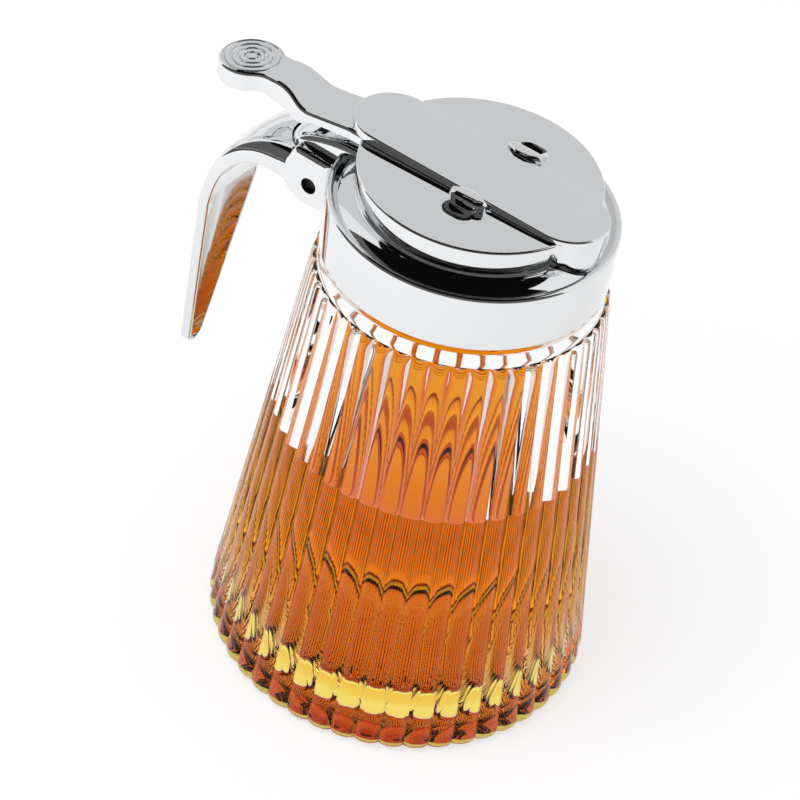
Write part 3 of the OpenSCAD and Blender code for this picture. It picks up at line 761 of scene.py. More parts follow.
def lid_profile():
    top = arc(DISC_R - EDGE_R, DISC_Z - EDGE_R, EDGE_R, 90, 0, 6)
    foot = arc(DRUM_FOOT_R + 0.5, FOOT_Z - 0.2, 0.5, 180, 265, 5)
    shoulder = curve((DRUM_FOOT_R + 0.7, FOOT_Z - 0.7), (DRUM_FOOT_R + 1.6, FOOT_Z - 1.0),
                     (GROOVE_X - 0.9, PLATE_TOP_Z + 0.55), (GROOVE_X, PLATE_TOP_Z - 0.4), 16)
    bead = arc(BEAD_X, PLATE_TOP_Z - BEAD_R + 0.4, BEAD_R, 150, 0, 12)
    skirt = rounded([(COLLAR_R, PLATE_TOP_Z - 2, 0), (COLLAR_R, COLLAR_Z, 0.35),
                     (LINER_R, COLLAR_Z, 0.2), (LINER_R, PLATE_Z, 0)])
    hollow = [(DISC_R - DRUM_WALL, PLATE_Z), (DISC_R - DRUM_WALL, DISC_Z - ROOF_T), (0, DISC_Z - ROOF_T)]
    return [(0, DISC_Z), (12, DISC_Z), (20, DISC_Z)] + top + foot + shoulder + bead + skirt + hollow


lid = turned("lid", lid_profile(), steps=256)
tell("turned lid", lid)

# %% [markdown]
# The nose is the outline of the mouth's wall, with a fillet on each side where it runs into
# the round drum. Each fillet is an arc that touches both circles, so its centre lies where two
# wider circles cross.

# %% Nose and pour mouth
MOUTH_R = 5.6
MOUTH_X = COLLAR_R - 9
NOSE_R = MOUTH_R + 1.9
FILLET_R = 6.0


def nose_outline(drum_r):
    """Half the nose's outline: along the drum, round the fillet, round the tip, then mirrored."""
    far, near = drum_r + FILLET_R, NOSE_R + FILLET_R
    x = (far ** 2 - near ** 2 + MOUTH_X ** 2) / (2 * MOUTH_X)
    y = sqrt(far ** 2 - x ** 2)
    fillet = arc(x, y, FILLET_R, degrees(atan2(-y, -x)), degrees(atan2(-y, MOUTH_X - x)), 8)
    tip = arc(MOUTH_X, 0, NOSE_R, degrees(atan2(y, x - MOUTH_X)), 0, 12)
    half = [(drum_r - 8, fillet[0][1])] + fillet + tip[1:-1]
    return half + [(tip[-1][0], 0)] + [(px, -py) for px, py in reversed(half)]


nose = plate("nose", nose_outline(DISC_R - 0.2), PLATE_Z + 0.3, DISC_Z)
bevel_edges(nose, EDGE_R, 4, lambda a, b: min(a.z, b.z) > DISC_Z - 0.01 and max(a.x, b.x) > DISC_R - 2.2)
combine(lid, nose, "UNION")
combine(lid, rod("mouth", 96, MOUTH_R, 12, (MOUTH_X, 0, PLATE_TOP_Z + 6)), "DIFFERENCE")
tell("lid with nose", lid)

# %% [markdown]
# The bracket is a thick tongue with a round end and an arched top whose edges are well
# rounded. Its plan is drawn once and extruded; the arch is then pressed into its top by
# lowering every upper vertex to the height of the arch at its place.

# %% Bracket
BRACKET_W = 12.9
BRACKET_END_X = -(PIN_X + 9.9 - BRACKET_W / 2)
BRACKET_TOP_Z = DISC_Z - 5.3
BRACKET_ARCH_R = 31.6
BRACKET_EDGE = 1.6
BRACKET_SLICE = 0.9


def arch_z(x):
    return BRACKET_TOP_Z - BRACKET_ARCH_R + sqrt(BRACKET_ARCH_R ** 2 - (x + DISC_R) ** 2)


def add_bracket():
    low, inner = COLLAR_Z + 0.5, -(DISC_R - 1.5)
    outline = arc(BRACKET_END_X, 0, BRACKET_W / 2, 90, 270, 32)
    outline += [(inner, -BRACKET_W / 2), (inner, BRACKET_W / 2)]
    bracket = plate("bracket", outline, low, BRACKET_TOP_Z)
    bevel_edges(bracket, BRACKET_EDGE, 6, lambda a, b: min(a.z, b.z) > BRACKET_TOP_Z - 0.01
                and min(a.x, b.x) < inner - 0.5)
    slice_across(bracket, [BRACKET_END_X - BRACKET_W / 2 + BRACKET_SLICE * i for i in range(1, 24)])
    for vert in bracket.data.vertices:
        if vert.co.z / MM > BRACKET_TOP_Z - BRACKET_EDGE - 0.1:
            vert.co.z += (arch_z(vert.co.x / MM) - BRACKET_TOP_Z) * MM
    inside = rod("inside", 256, COLLAR_R - 0.02, (PLATE_Z + 0.5) * 2, (0, 0, 0))
    combine(bracket, inside, "DIFFERENCE")
    return bracket


combine(lid, add_bracket(), "UNION")
tell("lid with bracket", lid)

# %% [markdown]
# Across the platform runs the channel of the return spring, and behind it the slot through
# which the lever passes. The slide covers both, but the slot shows from behind.

# %% Channel and lever slot
CHANNEL_W = 6.6
CHANNEL_Z = DISC_Z - 5
CHANNEL_FRONT_X = 9.2
LEVER_W = 12.0
SLOT_GAP = 0.3
SLOT_Z = DISC_Z - 4.6
SLOT_END_X = -DISC_R + 9.8
METAL = 1.2
ABOVE_Z = DISC_Z + 5

slot_half_w = LEVER_W / 2 + SLOT_GAP
for piece, operation in (
        (box("trough", -DISC_R + 1, CHANNEL_FRONT_X + METAL, CHANNEL_W / 2 + METAL,
             CHANNEL_Z - METAL, DISC_Z - 1), "UNION"),
        (box("housing", -DISC_R + 1.2, SLOT_END_X + METAL, slot_half_w + METAL,
             SLOT_Z - METAL, DISC_Z - 1), "UNION"),
        (box("channel", -DISC_R + 1, CHANNEL_FRONT_X, CHANNEL_W / 2, CHANNEL_Z, ABOVE_Z), "DIFFERENCE"),
        (box("slot", -DISC_R - 12, SLOT_END_X, slot_half_w, SLOT_Z, ABOVE_Z), "DIFFERENCE")):
    combine(lid, piece, operation)
tell("lid with its slots", lid)

# %% [markdown]
# Two staked lugs hold the slide down. On the real lid a punch drives into the platform beside
# the slide, and the metal that it moves is pushed over the slide's edge as a small hooked lip.
# The punch mark is the dark pit behind the lip. The pit is cut with a stretched ball. The lip
# is a bar with ball ends, flattened on top and narrowed toward the slide, and what would lie in
# the slide or under the platform is cut off it.

# %% Staked lugs and punch marks
LUG_X = 3.5
LUG_Y = SLIDE_W / 2 + 1.0
LUG_R = 2.1
LUG_L = 4.4
LUG_POINT = 0.75
LUG_FLAT = 0.4
LUG_LIFT = 0.2
PUNCH_R = 3.4
PUNCH_DEPTH = 1.4
PUNCH_L = 1.6
PUNCH_Y = LUG_Y + LUG_R + 1.2


def round_bar(name, place, length, radius):
    """A bar along X with ball ends."""
    bar = start_piece(name, bpy.ops.mesh.primitive_uv_sphere_add, segments=48, ring_count=32,
                      radius=radius * MM, rotation=(0, pi / 2, 0))
    set_down(bar)
    for vert in bar.data.vertices:
        side = 0 if abs(vert.co.x) < 1e-7 else (1 if vert.co.x > 0 else -1)
        vert.co.x += side * length / 2 * MM
        vert.co += Vector(place) * MM
    return bar


def add_lug(side):
    lug = round_bar("lug", (LUG_X, LUG_Y * side, DISC_Z + LUG_LIFT), LUG_L, LUG_R)
    top = LUG_R + LUG_LIFT
    for vert in lug.data.vertices:
        inward = max(0, (LUG_Y - abs(vert.co.y) / MM) / LUG_R)
        vert.co.x = (LUG_X + (vert.co.x / MM - LUG_X) * (1 - LUG_POINT * inward)) * MM
        rise = (vert.co.z / MM - DISC_Z) / top
        if rise > 0:
            vert.co.z = (DISC_Z + top * rise ** LUG_FLAT) * MM
    for half_y, low, high in ((SLIDE_W / 2 + SLOT_GAP, DISC_Z - 6, DISC_Z + 2.0),
                              (40, DISC_Z - 8, DISC_Z - 1.2)):
        combine(lug, box("clearance", LUG_X - 20, LUG_X + 20, half_y, low, high), "DIFFERENCE")
    return lug


for side in (1, -1):
    pit = round_bar("pit", (LUG_X, PUNCH_Y * side, DISC_Z + PUNCH_R - PUNCH_DEPTH), PUNCH_L, PUNCH_R)
    combine(lid, pit, "DIFFERENCE")
for side in (1, -1):
    combine(lid, add_lug(side), "UNION")
dress(lid, 28, "lid", "chromed_zinc", chrome, "lid_casting")

# %% [markdown]
# ## The cut-off slide
# The slide is a long plate with two round ends. Its rear is thick and its front thin, so the
# top falls toward the mouth; the upper edge is only just broken. Below it hang a foot that the
# lever is riveted to, and a finger with two rails that holds the front of the spring.

# %% Slide
SLIDE_Z = DISC_Z + 0.15
SLIDE_FRONT_T = 0.9
SLIDE_DROP = SLIDE_TOP_Z - SLIDE_Z - SLIDE_FRONT_T
SLIDE_EDGE = 0.35
SLIDE_REAR_X = slide_low.x
SLIDE_TIP_X = slide_high.x
TONGUE_TOP_Z = DISC_Z - 1.3
FOOT_L = 8.7
FINGER_X = CHANNEL_FRONT_X - 1.5
RAIL_L = 18.0
RAIL_T = 0.6


def add_slide():
    r = SLIDE_W / 2
    outline = arc(SLIDE_TIP_X - r, 0, r, -90, 90, 40) + arc(SLIDE_REAR_X + r, 0, r, 90, 270, 40)
    slide = plate("cutoff_slide_plate", outline, SLIDE_Z, SLIDE_TOP_Z)
    for vert in slide.data.vertices:
        if vert.co.z / MM > SLIDE_TOP_Z - 0.01:
            share = (vert.co.x / MM - SLIDE_REAR_X) / (SLIDE_TIP_X - SLIDE_REAR_X)
            vert.co.z -= SLIDE_DROP * share * MM
    bevel_edges(slide, SLIDE_EDGE, 4, lambda a, b: min(a.z, b.z) > SLIDE_Z + 0.5)
    finger_half_w, top = CHANNEL_W / 2 - SLOT_GAP / 2, SLIDE_Z + 0.3
    finger = box("finger", spring_high.x, FINGER_X, finger_half_w, slide_low.z, top)
    combine(slide, finger, "UNION")
    for side in (1, -1):
        rail = box("rail", FINGER_X - RAIL_L, FINGER_X - 0.2, RAIL_T / 2, slide_low.z, top)
        edit(rail)
        bpy.ops.transform.translate(value=(0, side * (finger_half_w - RAIL_T / 2) * MM, 0))
        done()
        combine(slide, rail, "UNION")
    foot = box("foot", -DISC_R, -DISC_R + FOOT_L, LEVER_W / 2 - 1, TONGUE_TOP_Z, top)
    combine(slide, foot, "UNION")
    return slide


slide = add_slide()
dress(slide, 28, "slide", "chromed_zinc", chrome, "cutoff_slide")

# %% [markdown]
# ## The thumb lever
# Seen from above the lever is a band that narrows to a waist and ends in a round pad. Seen from
# the side it falls gently outward and then climbs in an S-bend to the pad. So the outline from
# above is extruded to a blank one unit high, its top edge is rounded, and the blank is
# sliced across; every vertex then moves to its place between the lower and the upper side line.
# The casting is hollow from below.

# %% Side lines of the lever
LEVER_END_X = -DISC_R + FOOT_L + 0.4
TONGUE_Z = TONGUE_TOP_Z - 2.4
PAD_R = lever_high.y
PAD_X = -lever_low.x - PAD_R
PAD_TILT = 6.0
PAD_SLOPE = tan(radians(PAD_TILT))
PAD_DEPTH = 4.6
PAD_TOP_Z = DISC_Z - 1.5
PAD_RIM_X = -PAD_X - PAD_R - 0.5
CREST_X = -PAD_X + PAD_R + 2.8
CREST_Z = PAD_TOP_Z + (PAD_X + CREST_X) * PAD_SLOPE
BEND_X = CREST_X + 9.0
BEND_Z = TONGUE_TOP_Z - 1.5
NECK_X = -DISC_R - 3.5
WAIST = 4.8
JOIN_TURN = 52

lever_top = [(LEVER_END_X + 1, TONGUE_TOP_Z), (NECK_X, TONGUE_TOP_Z)]
lever_top += curve((BEND_X, BEND_Z), (BEND_X - 3.6, BEND_Z - 0.5), (CREST_X + 4.6, CREST_Z),
                   (CREST_X, CREST_Z), 16)
lever_top += [(PAD_RIM_X, PAD_TOP_Z - (PAD_R + 0.5) * PAD_SLOPE)]
lever_bottom = [(LEVER_END_X + 1, TONGUE_Z), (NECK_X, TONGUE_Z), (BEND_X + 1.5, BEND_Z - 1.9)]
lever_bottom += curve((BEND_X - 1.1, BEND_Z - PAD_DEPTH * 0.75), (BEND_X - 3.96, BEND_Z - PAD_DEPTH),
                      (CREST_X + 1.5, CREST_Z - PAD_DEPTH * 0.9),
                      (-PAD_X + PAD_R * 0.86, PAD_TOP_Z - PAD_DEPTH * 0.8), 16)
lever_bottom += [(-PAD_X, PAD_TOP_Z - PAD_DEPTH), (PAD_RIM_X, PAD_TOP_Z - PAD_DEPTH)]


def height_on(line, x):
    """Height of a line of (x, z) points, drawn from right to left, at x."""
    for (x0, z0), (x1, z1) in zip(line, line[1:]):
        if x1 <= x <= x0:
            return z0 + (z1 - z0) * (x0 - x) / (x0 - x1)
    return line[-1][1]


def lever_outline(inset=0.0):
    half, waist, pad = LEVER_W / 2 - inset, WAIST - inset, PAD_R - inset
    turn = radians(JOIN_TURN)
    at = (-PAD_X + pad * cos(turn), pad * sin(turn))
    edge = [(LEVER_END_X - inset, half), (NECK_X, half)]
    edge += curve((BEND_X + 2, half), (BEND_X - 4, half), (CREST_X + 5, waist), (CREST_X, waist), 14)
    toward = (at[0] + 2.0, at[1] - 2.0 / tan(turn))
    edge += curve((CREST_X, waist), (CREST_X - 2.4, waist), toward, at, 8)[1:]
    edge += arc(-PAD_X, 0, pad, JOIN_TURN, 180, 24)[1:]
    return edge + [(x, -y) for x, y in reversed(edge[:-1])]


print("lever pad at", round(PAD_X, 2), "crest", round(CREST_X, 2), round(CREST_Z, 2))

# %% Lever
BLANK_H = 10
LEVER_EDGE = 0.8
LEVER_WALL = 1.3
LEVER_SLICE = 0.6


def add_lever():
    lever = plate("thumb_lever_casting", lever_outline(), 0, BLANK_H)
    bevel_edges(lever, LEVER_EDGE, 6, lambda a, b: min(a.z, b.z) > BLANK_H - 0.1
                and min(a.x, b.x) < LEVER_END_X - 0.1)
    cuts = [PAD_RIM_X + 1.5 + LEVER_SLICE * i for i in range(int((NECK_X - PAD_RIM_X) / LEVER_SLICE) + 4)]
    slice_across(lever, cuts)
    for vert in lever.data.vertices:
        x, z = vert.co.x / MM, vert.co.z / MM
        bottom, top = height_on(lever_bottom, x), height_on(lever_top, x)
        if z > BLANK_H - 2 * LEVER_EDGE:
            vert.co.z = (top - (BLANK_H - z)) * MM
        else:
            vert.co.z = (bottom + z * (top - bottom) / BLANK_H) * MM
    core = plate("core", lever_outline(LEVER_WALL), 0, BLANK_H)
    slice_across(core, cuts)
    below = [(x, z - 6) for x, z in lever_bottom]
    skin = [(x, z - LEVER_WALL) for x, z in lever_top]
    for vert in core.data.vertices:
        vert.co.z = height_on(skin if vert.co.z > 0.005 else below, vert.co.x / MM) * MM
    tongue = box("tongue", -DISC_R - 5, LEVER_END_X + 5, 10, TONGUE_Z - 8, TONGUE_TOP_Z + 5)
    combine(core, tongue, "DIFFERENCE")
    combine(lever, core, "DIFFERENCE")
    return lever


lever = add_lever()
tell("lever blank", lever)

# %% [markdown]
# Four rings are pressed into the pad for grip. Each ring is cut with a turned ring whose
# section is a small round groove, tilted with the pad.

# %% Rings in the pad
RING_COUNT = 4
RING_W = 0.75
RING_D = 0.6


def ring_cutter(radius):
    """A ring lying in the pad's top, round below."""
    inner, outer, floor_z = radius - RING_W / 2, radius + RING_W / 2, -RING_D * 0.45
    section = [(inner, 1.0), (inner, floor_z)] + arc(radius, floor_z, RING_W / 2, 180, 360, 6)[1:-1]
    section += [(outer, floor_z), (outer, 1.0), (inner, 1.0)]
    ring = turned("ring", section, steps=72)
    tilt = Matrix.Rotation(radians(-PAD_TILT), 4, "Y")
    ring.data.transform(Matrix.Translation(Vector((-PAD_X, 0, PAD_TOP_Z)) * MM) @ tilt)
    return ring


for i in range(1, RING_COUNT + 1):
    combine(lever, ring_cutter((PAD_R - 0.7) * (i - 0.15) / RING_COUNT), "DIFFERENCE")
dress(lever, 28, "slide", "chromed_zinc", chrome, "thumb_lever")

# %% [markdown]
# ## The handle
# The handle leaves the bracket as a thick arch, turns down into a thin grip and narrows to a
# round tip. It is lofted: a grid is rolled up so that each of its rows becomes one section,
# a rounded rectangle whose outer edges are well rounded and whose outer face is a little
# crowned. On the grip the inner face is hollow behind a narrow lip.

# %% Side lines of the handle
EAR_R = 4.6
EAR_X = PIN_X - EAR_R + 0.1
EAR_OUT_X = PIN_X + EAR_R
GRIP_X = PIN_X + 27.1
ARCH_Z = PIN_Z + 6.5
ARCH_T = 8.3
GRIP_T = 2.6
KNEE_Z = PIN_Z - 21.3
TIP_X = -handle_low.x
TIP_Z = handle_low.z
HANDLE_HALF_W = handle_high.y
TIP_HALF_W = 2.7
TIP_FOOT_Z = TIP_Z + TIP_HALF_W
ARCH_RUN = GRIP_X - EAR_OUT_X
ARCH_DROP = ARCH_Z - KNEE_Z
ARCH_ROWS = 24
ROW_STEP = 1.5

arch_back = [(-EAR_X - 6, ARCH_Z)] + curve(
    (-EAR_OUT_X, ARCH_Z), (-EAR_OUT_X - ARCH_RUN * 5 / 9, ARCH_Z),
    (-GRIP_X + 1, ARCH_Z - ARCH_DROP * 2 / 7), (-GRIP_X, KNEE_Z), ARCH_ROWS)
arch_front = [(-EAR_X - 6, ARCH_Z - ARCH_T)] + curve(
    (-EAR_OUT_X - 1.7, ARCH_Z - ARCH_T), (-GRIP_X + ARCH_RUN / 2, ARCH_Z - ARCH_DROP * 2 / 9),
    (-GRIP_X + ARCH_RUN / 6, ARCH_Z - ARCH_DROP * 4 / 9), (-GRIP_X + GRIP_T, KNEE_Z), ARCH_ROWS)


def grip_half_width(z):
    if z >= KNEE_Z + 2:
        return HANDLE_HALF_W
    if z >= TIP_FOOT_Z:
        share = (z - TIP_FOOT_Z) / (KNEE_Z + 2 - TIP_FOOT_Z)
        return TIP_HALF_W + (HANDLE_HALF_W - TIP_HALF_W) * share
    return sqrt(max(0.0, TIP_HALF_W ** 2 - (TIP_FOOT_Z - z) ** 2)) + 0.02


def handle_rows():
    """One row for each section: back point, front point, half width."""
    rows = [(back, front, grip_half_width(back[1])) for back, front in zip(arch_back, arch_front)]
    run = KNEE_Z - TIP_Z
    heights = [KNEE_Z - ROW_STEP * i for i in range(1, 30) if ROW_STEP * i < run - 3.2]
    heights += [TIP_Z + rise for rise in (2.7, 2.2, 1.7, 1.2, 0.8, 0.45, 0.2, 0.05)]
    for z in heights:
        lean = (TIP_X - GRIP_X) * (KNEE_Z - z) / run
        rows.append(((-GRIP_X - lean, z), (-GRIP_X + GRIP_T - lean, z), grip_half_width(z)))
    return rows


print("handle rows:", len(handle_rows()))

# %% Handle sections
HANDLE_EDGE = 4.2
HANDLE_CROWN = 0.9
INNER_EDGE = 0.5


def half_section(half_w, thick, outer_edge):
    """Half a section from the middle of the inner face to the middle of the outer face."""
    inner = min(INNER_EDGE, half_w / 2, thick / 3)
    outer = min(outer_edge, half_w * 0.8, thick - inner - 0.05)
    drop = HANDLE_CROWN * outer / HANDLE_EDGE
    crown = half_w - outer
    points = [((half_w - inner) * share, 0.0) for share in (0.0, 0.3, 0.6, 0.85)]
    points += arc(half_w - inner, inner, inner, -90, 0, 5)
    points += arc(crown, thick - drop - outer, outer, 0, 90, 12)
    points += [(crown * 0.7, thick - drop * 0.5), (crown * 0.35, thick - drop * 0.12), (0.0, thick)]
    return points


def add_handle():
    rows = handle_rows()
    around = 2 * (len(half_section(9, 8, 2)) - 1)

    def place(u, v):
        column = round((u + 1) / 2 * around)
        back, front, half_w = entry(rows, v)
        across = Vector((back[0] - front[0], 0, back[1] - front[1]))
        thick = across.length
        half = half_section(half_w, thick, min(HANDLE_EDGE, 0.45 + (thick - GRIP_T) * 0.75))
        side = 1 if column < len(half) else -1
        y, depth = half[column] if side == 1 else half[around - column]
        return Vector((front[0], side * y, front[1])) + across.normalized() * depth

    handle = sheet("handle_casting", around, len(rows) - 1, place)
    edit(handle)
    bpy.ops.mesh.remove_doubles(threshold=0.003 * MM)
    cap_ends(handle)
    return handle


handle = add_handle()
tell("handle loft", handle)

# %% [markdown]
# The hollow in the grip is a shallow V with a soft floor, which mirrors the jar, and a narrow
# lip runs round it. It is cut with a core that follows the inner face. The arch gets its slot
# for the bracket, and two ears are added beside the slot, with the bore for the pin.

# %% Hollow, slot, ears
HOLLOW_Z = KNEE_Z + 4.5
HOLLOW_D = 2.05
HOLLOW_EDGE_D = 0.2
HOLLOW_BOW = 1.15
CORNER_R = 2.0
LIP_W = 0.9
HOLLOW_END_Z = TIP_Z + LIP_W
EAR_FOOT_X = -EAR_OUT_X - 1.7
EAR_SLOT = BRACKET_W / 2 + 0.15


def front_x(z):
    """Place of the inner face at height z: the arch's line, then the straight grip."""
    if z <= KNEE_Z:
        return -GRIP_X + GRIP_T - (TIP_X - GRIP_X) * (KNEE_Z - z) / (KNEE_Z - TIP_Z)
    for (x0, z0), (x1, z1) in zip(arch_front, arch_front[1:]):
        if z1 <= z < z0:
            return x0 + (x1 - x0) * (z0 - z) / (z0 - z1)
    return arch_front[0][0]


def hollow_core():
    """The hollow's floor: a grid is bowed across, bent to the face and made thick."""
    heights = [HOLLOW_Z - drop for drop in (0, 0.1, 0.3, 0.6, 1.0, 1.5, 2.0, 3.0)]
    heights += [z for z in (KNEE_Z - ROW_STEP * i for i in range(1, 40)) if z > HOLLOW_END_Z + 3]
    heights += [HOLLOW_END_Z + rise for rise in (2.4, 1.8, 1.3, 0.8, 0.4, 0.15, 0.02)]

    def place(u, v):
        z = entry(heights, -v)
        from_top, from_end = HOLLOW_Z - z, z - HOLLOW_END_Z
        half = grip_half_width(max(z, TIP_FOOT_Z)) - LIP_W
        if from_top < CORNER_R:
            half -= CORNER_R - sqrt(CORNER_R ** 2 - (CORNER_R - from_top) ** 2)
        if z < TIP_FOOT_Z:
            half = sqrt(max(0.0, (TIP_FOOT_Z - HOLLOW_END_Z) ** 2 - (TIP_FOOT_Z - z) ** 2)) + 0.02
        reach = min(1, 0.25 + from_top / 1.2) * min(1, 0.25 + from_end / 3)
        depth = HOLLOW_EDGE_D + (HOLLOW_D - HOLLOW_EDGE_D) * (1 - abs(u) ** HOLLOW_BOW) * reach
        return front_x(z) - depth, u * half, z

    core = sheet("core", 20, len(heights) - 1, place)
    edit(core)
    extrude(8 * MM, 0, 0)
    close_shell()
    return core


def add_ear(side):
    outline = rounded([(-EAR_OUT_X, ARCH_Z + 1.3, 0.8), (-EAR_X, ARCH_Z + 1, 0.8),
                       (-EAR_X, PIN_Z - EAR_R, 0.3), (-EAR_OUT_X + EAR_R / 2, PIN_Z - EAR_R, 1.2),
                       (EAR_FOOT_X, PIN_Z - EAR_R * 0.4, 1.5),
                       (EAR_FOOT_X, ARCH_Z - EAR_R / 2, 0)], steps=4)
    low, high = sorted((side * EAR_SLOT, side * HANDLE_HALF_W))
    ear = plate("ear", outline, low, high, side=True)
    outer = high if side > 0 else low
    bevel_edges(ear, 1.1, 5, lambda a, b: abs(a.y - outer) < 0.01 and abs(b.y - outer) < 0.01
                and max(a.z, b.z) > PIN_Z + 5)
    return ear


combine(handle, hollow_core(), "DIFFERENCE")
for side in (1, -1):
    combine(handle, add_ear(side), "UNION")
cut = arc(BRACKET_END_X, 0, EAR_SLOT, 90, 270, 32) + [(-EAR_X + 5, -EAR_SLOT), (-EAR_X + 5, EAR_SLOT)]
combine(handle, plate("cut", cut, 60, 140), "DIFFERENCE")
combine(handle, rod("bore", 48, PIN_R, 30, (-PIN_X, 0, PIN_Z), (pi / 2, 0, 0)), "DIFFERENCE")
dress(handle, 28, "lid", "chromed_zinc", chrome, "handle")

# %% [markdown]
# The hinge **pin** is a turned rod with chamfered ends, set a little way inside the ears.

# %% Pin
pin = rod("hinge_pin", 48, PIN_R - 0.02, pin_high.y - pin_low.y, (-PIN_X, 0, PIN_Z), (pi / 2, 0, 0))
set_down(pin)
bevel_edges(pin, 0.3, 2, lambda a, b: abs(abs(a.y) - pin_high.y) < 0.01 and abs(a.y - b.y) < 0.01)
dress(pin, 30, "lid", "rivet_steel", pin_steel, "handle_pin")

# %% [markdown]
# The **return spring** is a coil of round wire in the lid's channel. A circle is extruded and
# turned step by step round the spring's own axis. Its rear end rests on the lid and its front
# end on the slide.

# %% Return spring
COIL_TURNS = 8
COIL_STEPS = 24
WIRE_D = 0.6
COIL_R = (spring_high.y - spring_low.y - WIRE_D) / 2
COIL_AXIS_Z = (spring_low.z + spring_high.z) / 2


def add_return_spring():
    spring = wire_end("return_coil", WIRE_D / 2, (spring_low.x + WIRE_D / 2, COIL_R, COIL_AXIS_Z))
    count = COIL_TURNS * COIL_STEPS
    shift = (spring_high.x - spring_low.x - WIRE_D) / count * MM
    wind(count, (shift, 0, 0), 2 * pi / COIL_STEPS, "X", (0, 0, COIL_AXIS_Z * MM))
    cap_ends(spring)
    smooth(spring, 60)
    return spring


coil = add_return_spring()
coil.data.materials.append(spring_steel)
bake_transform(coil)
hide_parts("return_spring")
tell("spring", coil)

# %% [markdown]
# ## Finishes of the CAD nodes that stay
# The liner, the sealing ring and the rivets keep their CAD shapes and take the materials made
# above.

# %% Finishes for CAD nodes
for node, finish in (("thread_liner", plastic), ("neck_gasket", silicone),
                     ("lever_rivets", pin_steel)):
    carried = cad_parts[node]
    carried.data.materials.clear()
    carried.data.materials.append(finish)
    print(node, "takes", finish.name)

# %% [markdown]
# ## Floor, room and lamp
# The jar stands on a plain white floor, and its soft shadow is lifted toward white for the
# camera. The room is white to the camera and in the chrome, a little darker as a light, and a
# warm white through the glass. One large soft lamp from the upper left front gives the shapes a
# direction. The caustic that light through the honey would cast under the jar is painted on the
# floor: a glowing yellow pool, greener and brighter on the far side, that only light through the
# glass sees, and the glass of the base shows it.

# %% Floor
FLOOR_HALF = 2.5
WHITE_ROOM = 1.0
SHADOW_LIFT = 0.65
# Painted caustic: the colours and rings of a glowing yellow pool of light on the floor under the jar.
CAUSTIC_PAINT_NEAR = "#F7DC68"
CAUSTIC_PAINT_FAR = (1.15, 1.8, 0.7, 1)
CAUSTIC_PAINT_CHANGE = (-38, 4)
CAUSTIC_PAINT_EDGE = (40, 44)


def make_floor():
    """Matt white, with the jar's shadow, and a painted caustic: a glowing yellow pool that only light
    through the glass sees.
    """
    material, tree, shader = new_material("matt white floor", "#F4F4F4", Roughness=0.9,
                                          Specular_IOR_Level=0.0)
    place = add_node(tree, "TexCoord").outputs["Object"]
    near = add_node(tree, "VectorMath", {0: place, 1: direction(CAMERA_AZIMUTH)}, operation="DOT_PRODUCT")
    far = add_node(tree, "VectorMath", {0: place}, operation="LENGTH")
    change, edge = [
        add_node(tree, "MapRange", {"Value": way.outputs["Value"], "From Min": low * MM,
                                              "From Max": high * MM}).outputs["Result"]
        for way, (low, high) in ((near, CAUSTIC_PAINT_CHANGE), (far, CAUSTIC_PAINT_EDGE))]
    # Painted caustic: a yellow pool of light under the jar, fading to white at its edge, seen only
    # through the glass.
    painted_caustic = mix_colours(tree, edge, mix_colours(tree, change, CAUSTIC_PAINT_FAR, linear(CAUSTIC_PAINT_NEAR)), WHITE)
    ray = add_node(tree, "LightPath").outputs
    lift = add_node(tree, "Math", {0: ray["Is Camera Ray"], 1: SHADOW_LIFT}, operation="MULTIPLY")
    seen = mix_shaders(tree, lift.outputs[0], shader.outputs[0], glow(tree, WHITE_ROOM))
    surface = mix_shaders(tree, ray["Is Transmission Ray"], seen, glow(tree, WHITE_ROOM, painted_caustic))
    give_out(tree, surface, "Surface")
    return material


floor = start_piece("floor", bpy.ops.mesh.primitive_plane_add, size=2 * FLOOR_HALF)
floor.data.materials.append(make_floor())
print("floor:", 2 * FLOOR_HALF, "m across")

# %% World and lamp
ROOM_FILL = 0.79
ROOM_BEHIND = 0.87
BEHIND_TINT = "#FFE4DE"


def add_world():
    world = bpy.data.worlds.new("white room")
    world.use_nodes = True
    scene.world = world
    tree = world.node_tree
    tree.nodes.clear()
    seen, fill, behind = [glow(tree, strength, colour, "Background") for strength, colour in
                          ((WHITE_ROOM, WHITE), (ROOM_FILL, WHITE), (ROOM_BEHIND, linear(BEHIND_TINT)))]
    ray = add_node(tree, "LightPath").outputs
    direct = add_node(tree, "Math", {0: ray["Is Camera Ray"], 1: ray["Is Glossy Ray"]},
                      operation="MAXIMUM")
    room = mix_shaders(tree, direct.outputs[0], fill, seen)
    add_node(tree, "OutputWorld",
             {"Surface": mix_shaders(tree, ray["Is Transmission Ray"], room, behind)})


def add_lamp(name, place, size, watts):
    light = bpy.data.lights.new(name, "AREA")
    light.size = size
    light.energy = watts
    lamp = bpy.data.objects.new(name, light)
    scene.collection.objects.link(lamp)
    lamp.location = place
    lamp.rotation_euler = Vector(place).to_track_quat("Z", "Y").to_euler()
    lamp.visible_glossy = False
    return lamp


add_world()
lamp = add_lamp("soft key", (-0.35, -0.55, 1.1), 0.9, 9.0)
print("room and", lamp.name)

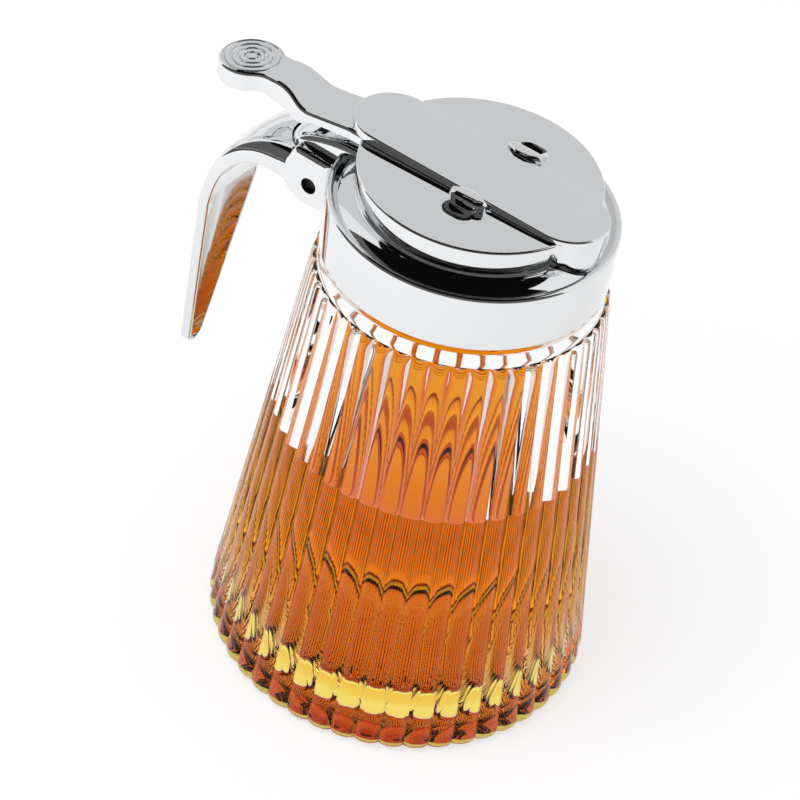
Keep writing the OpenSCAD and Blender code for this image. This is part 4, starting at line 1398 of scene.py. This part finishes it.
# %% [markdown]
# ## What the chrome sees
# Chrome shows only what it reflects, so screens stand round the jar that reflections see and
# nothing else does. A black one reaches from over the lid down to 44 degrees on the camera's
# side: rounded edges and the lid's shoulder turn black in it, while flat tops look past it to
# the far side. There a light grey card tones them down from white. Below the black screen, and
# on the floor before the jar, the screens are only dark grey, so that the lid keeps its shapes
# when it is seen from other sides.

# %% Screens that only reflections see
SCREEN_R = 1700
CARD_IN_R = 400
CARD_OUT_R = 1680
CAMERA_SIDE = (CAMERA_AZIMUTH - 105, CAMERA_AZIMUTH + 75)
FAR_SIDE = (CAMERA_AZIMUTH + 125, CAMERA_AZIMUTH + 235)


def screen_material(name, level):
    """A plain brightness, clear to light that has been through glass."""
    material, tree, shader = new_material(name)
    depth = add_node(tree, "LightPath").outputs["Transmission Depth"]
    through = add_node(tree, "Math", {0: depth, 1: 1.0}, operation="MINIMUM").outputs[0]
    clear = add_node(tree, "BsdfTransparent").outputs[0]
    surface = mix_shaders(tree, through, glow(tree, level), clear)
    give_out(tree, surface, "Surface")
    return material


def add_screen(name, material, azimuths, rows, section):
    """A sheet round the jar: section gives radius and height at a share across the sheet."""
    def place(u, v):
        r, z = section((v + 1) / 2)
        out = direction(azimuths[0] + (azimuths[1] - azimuths[0]) * (u + 1) / 2) * r
        return out.x, out.y, z

    screen = sheet(name, 32, rows, place)
    screen.data.materials.append(material)
    screen.visible_camera = False
    screen.visible_diffuse = False
    screen.visible_transmission = False
    screen.visible_shadow = False
    screen.visible_volume_scatter = False


def ball(low, high):
    """Section of a screen that is part of a ball, between two elevations in degrees."""
    def section(share):
        elevation = radians(low + (high - low) * share)
        return SCREEN_R * cos(elevation), SCREEN_R * sin(elevation)
    return section


dark = screen_material("black screen", 0.004)
low = screen_material("dark grey screen", 0.12)
grey = screen_material("light grey card", 0.75)
add_screen("dark_screen", dark, CAMERA_SIDE, 16, ball(44, 121))
add_screen("low_screen", low, CAMERA_SIDE, 16, ball(1, 44))
add_screen("dark_card", low, CAMERA_SIDE, 2,
           lambda share: (CARD_IN_R + (CARD_OUT_R - CARD_IN_R) * share, 1))
add_screen("rear_card", grey, FAR_SIDE, 16, ball(15, 75))
print("floor, room, lamp and screens are in place")
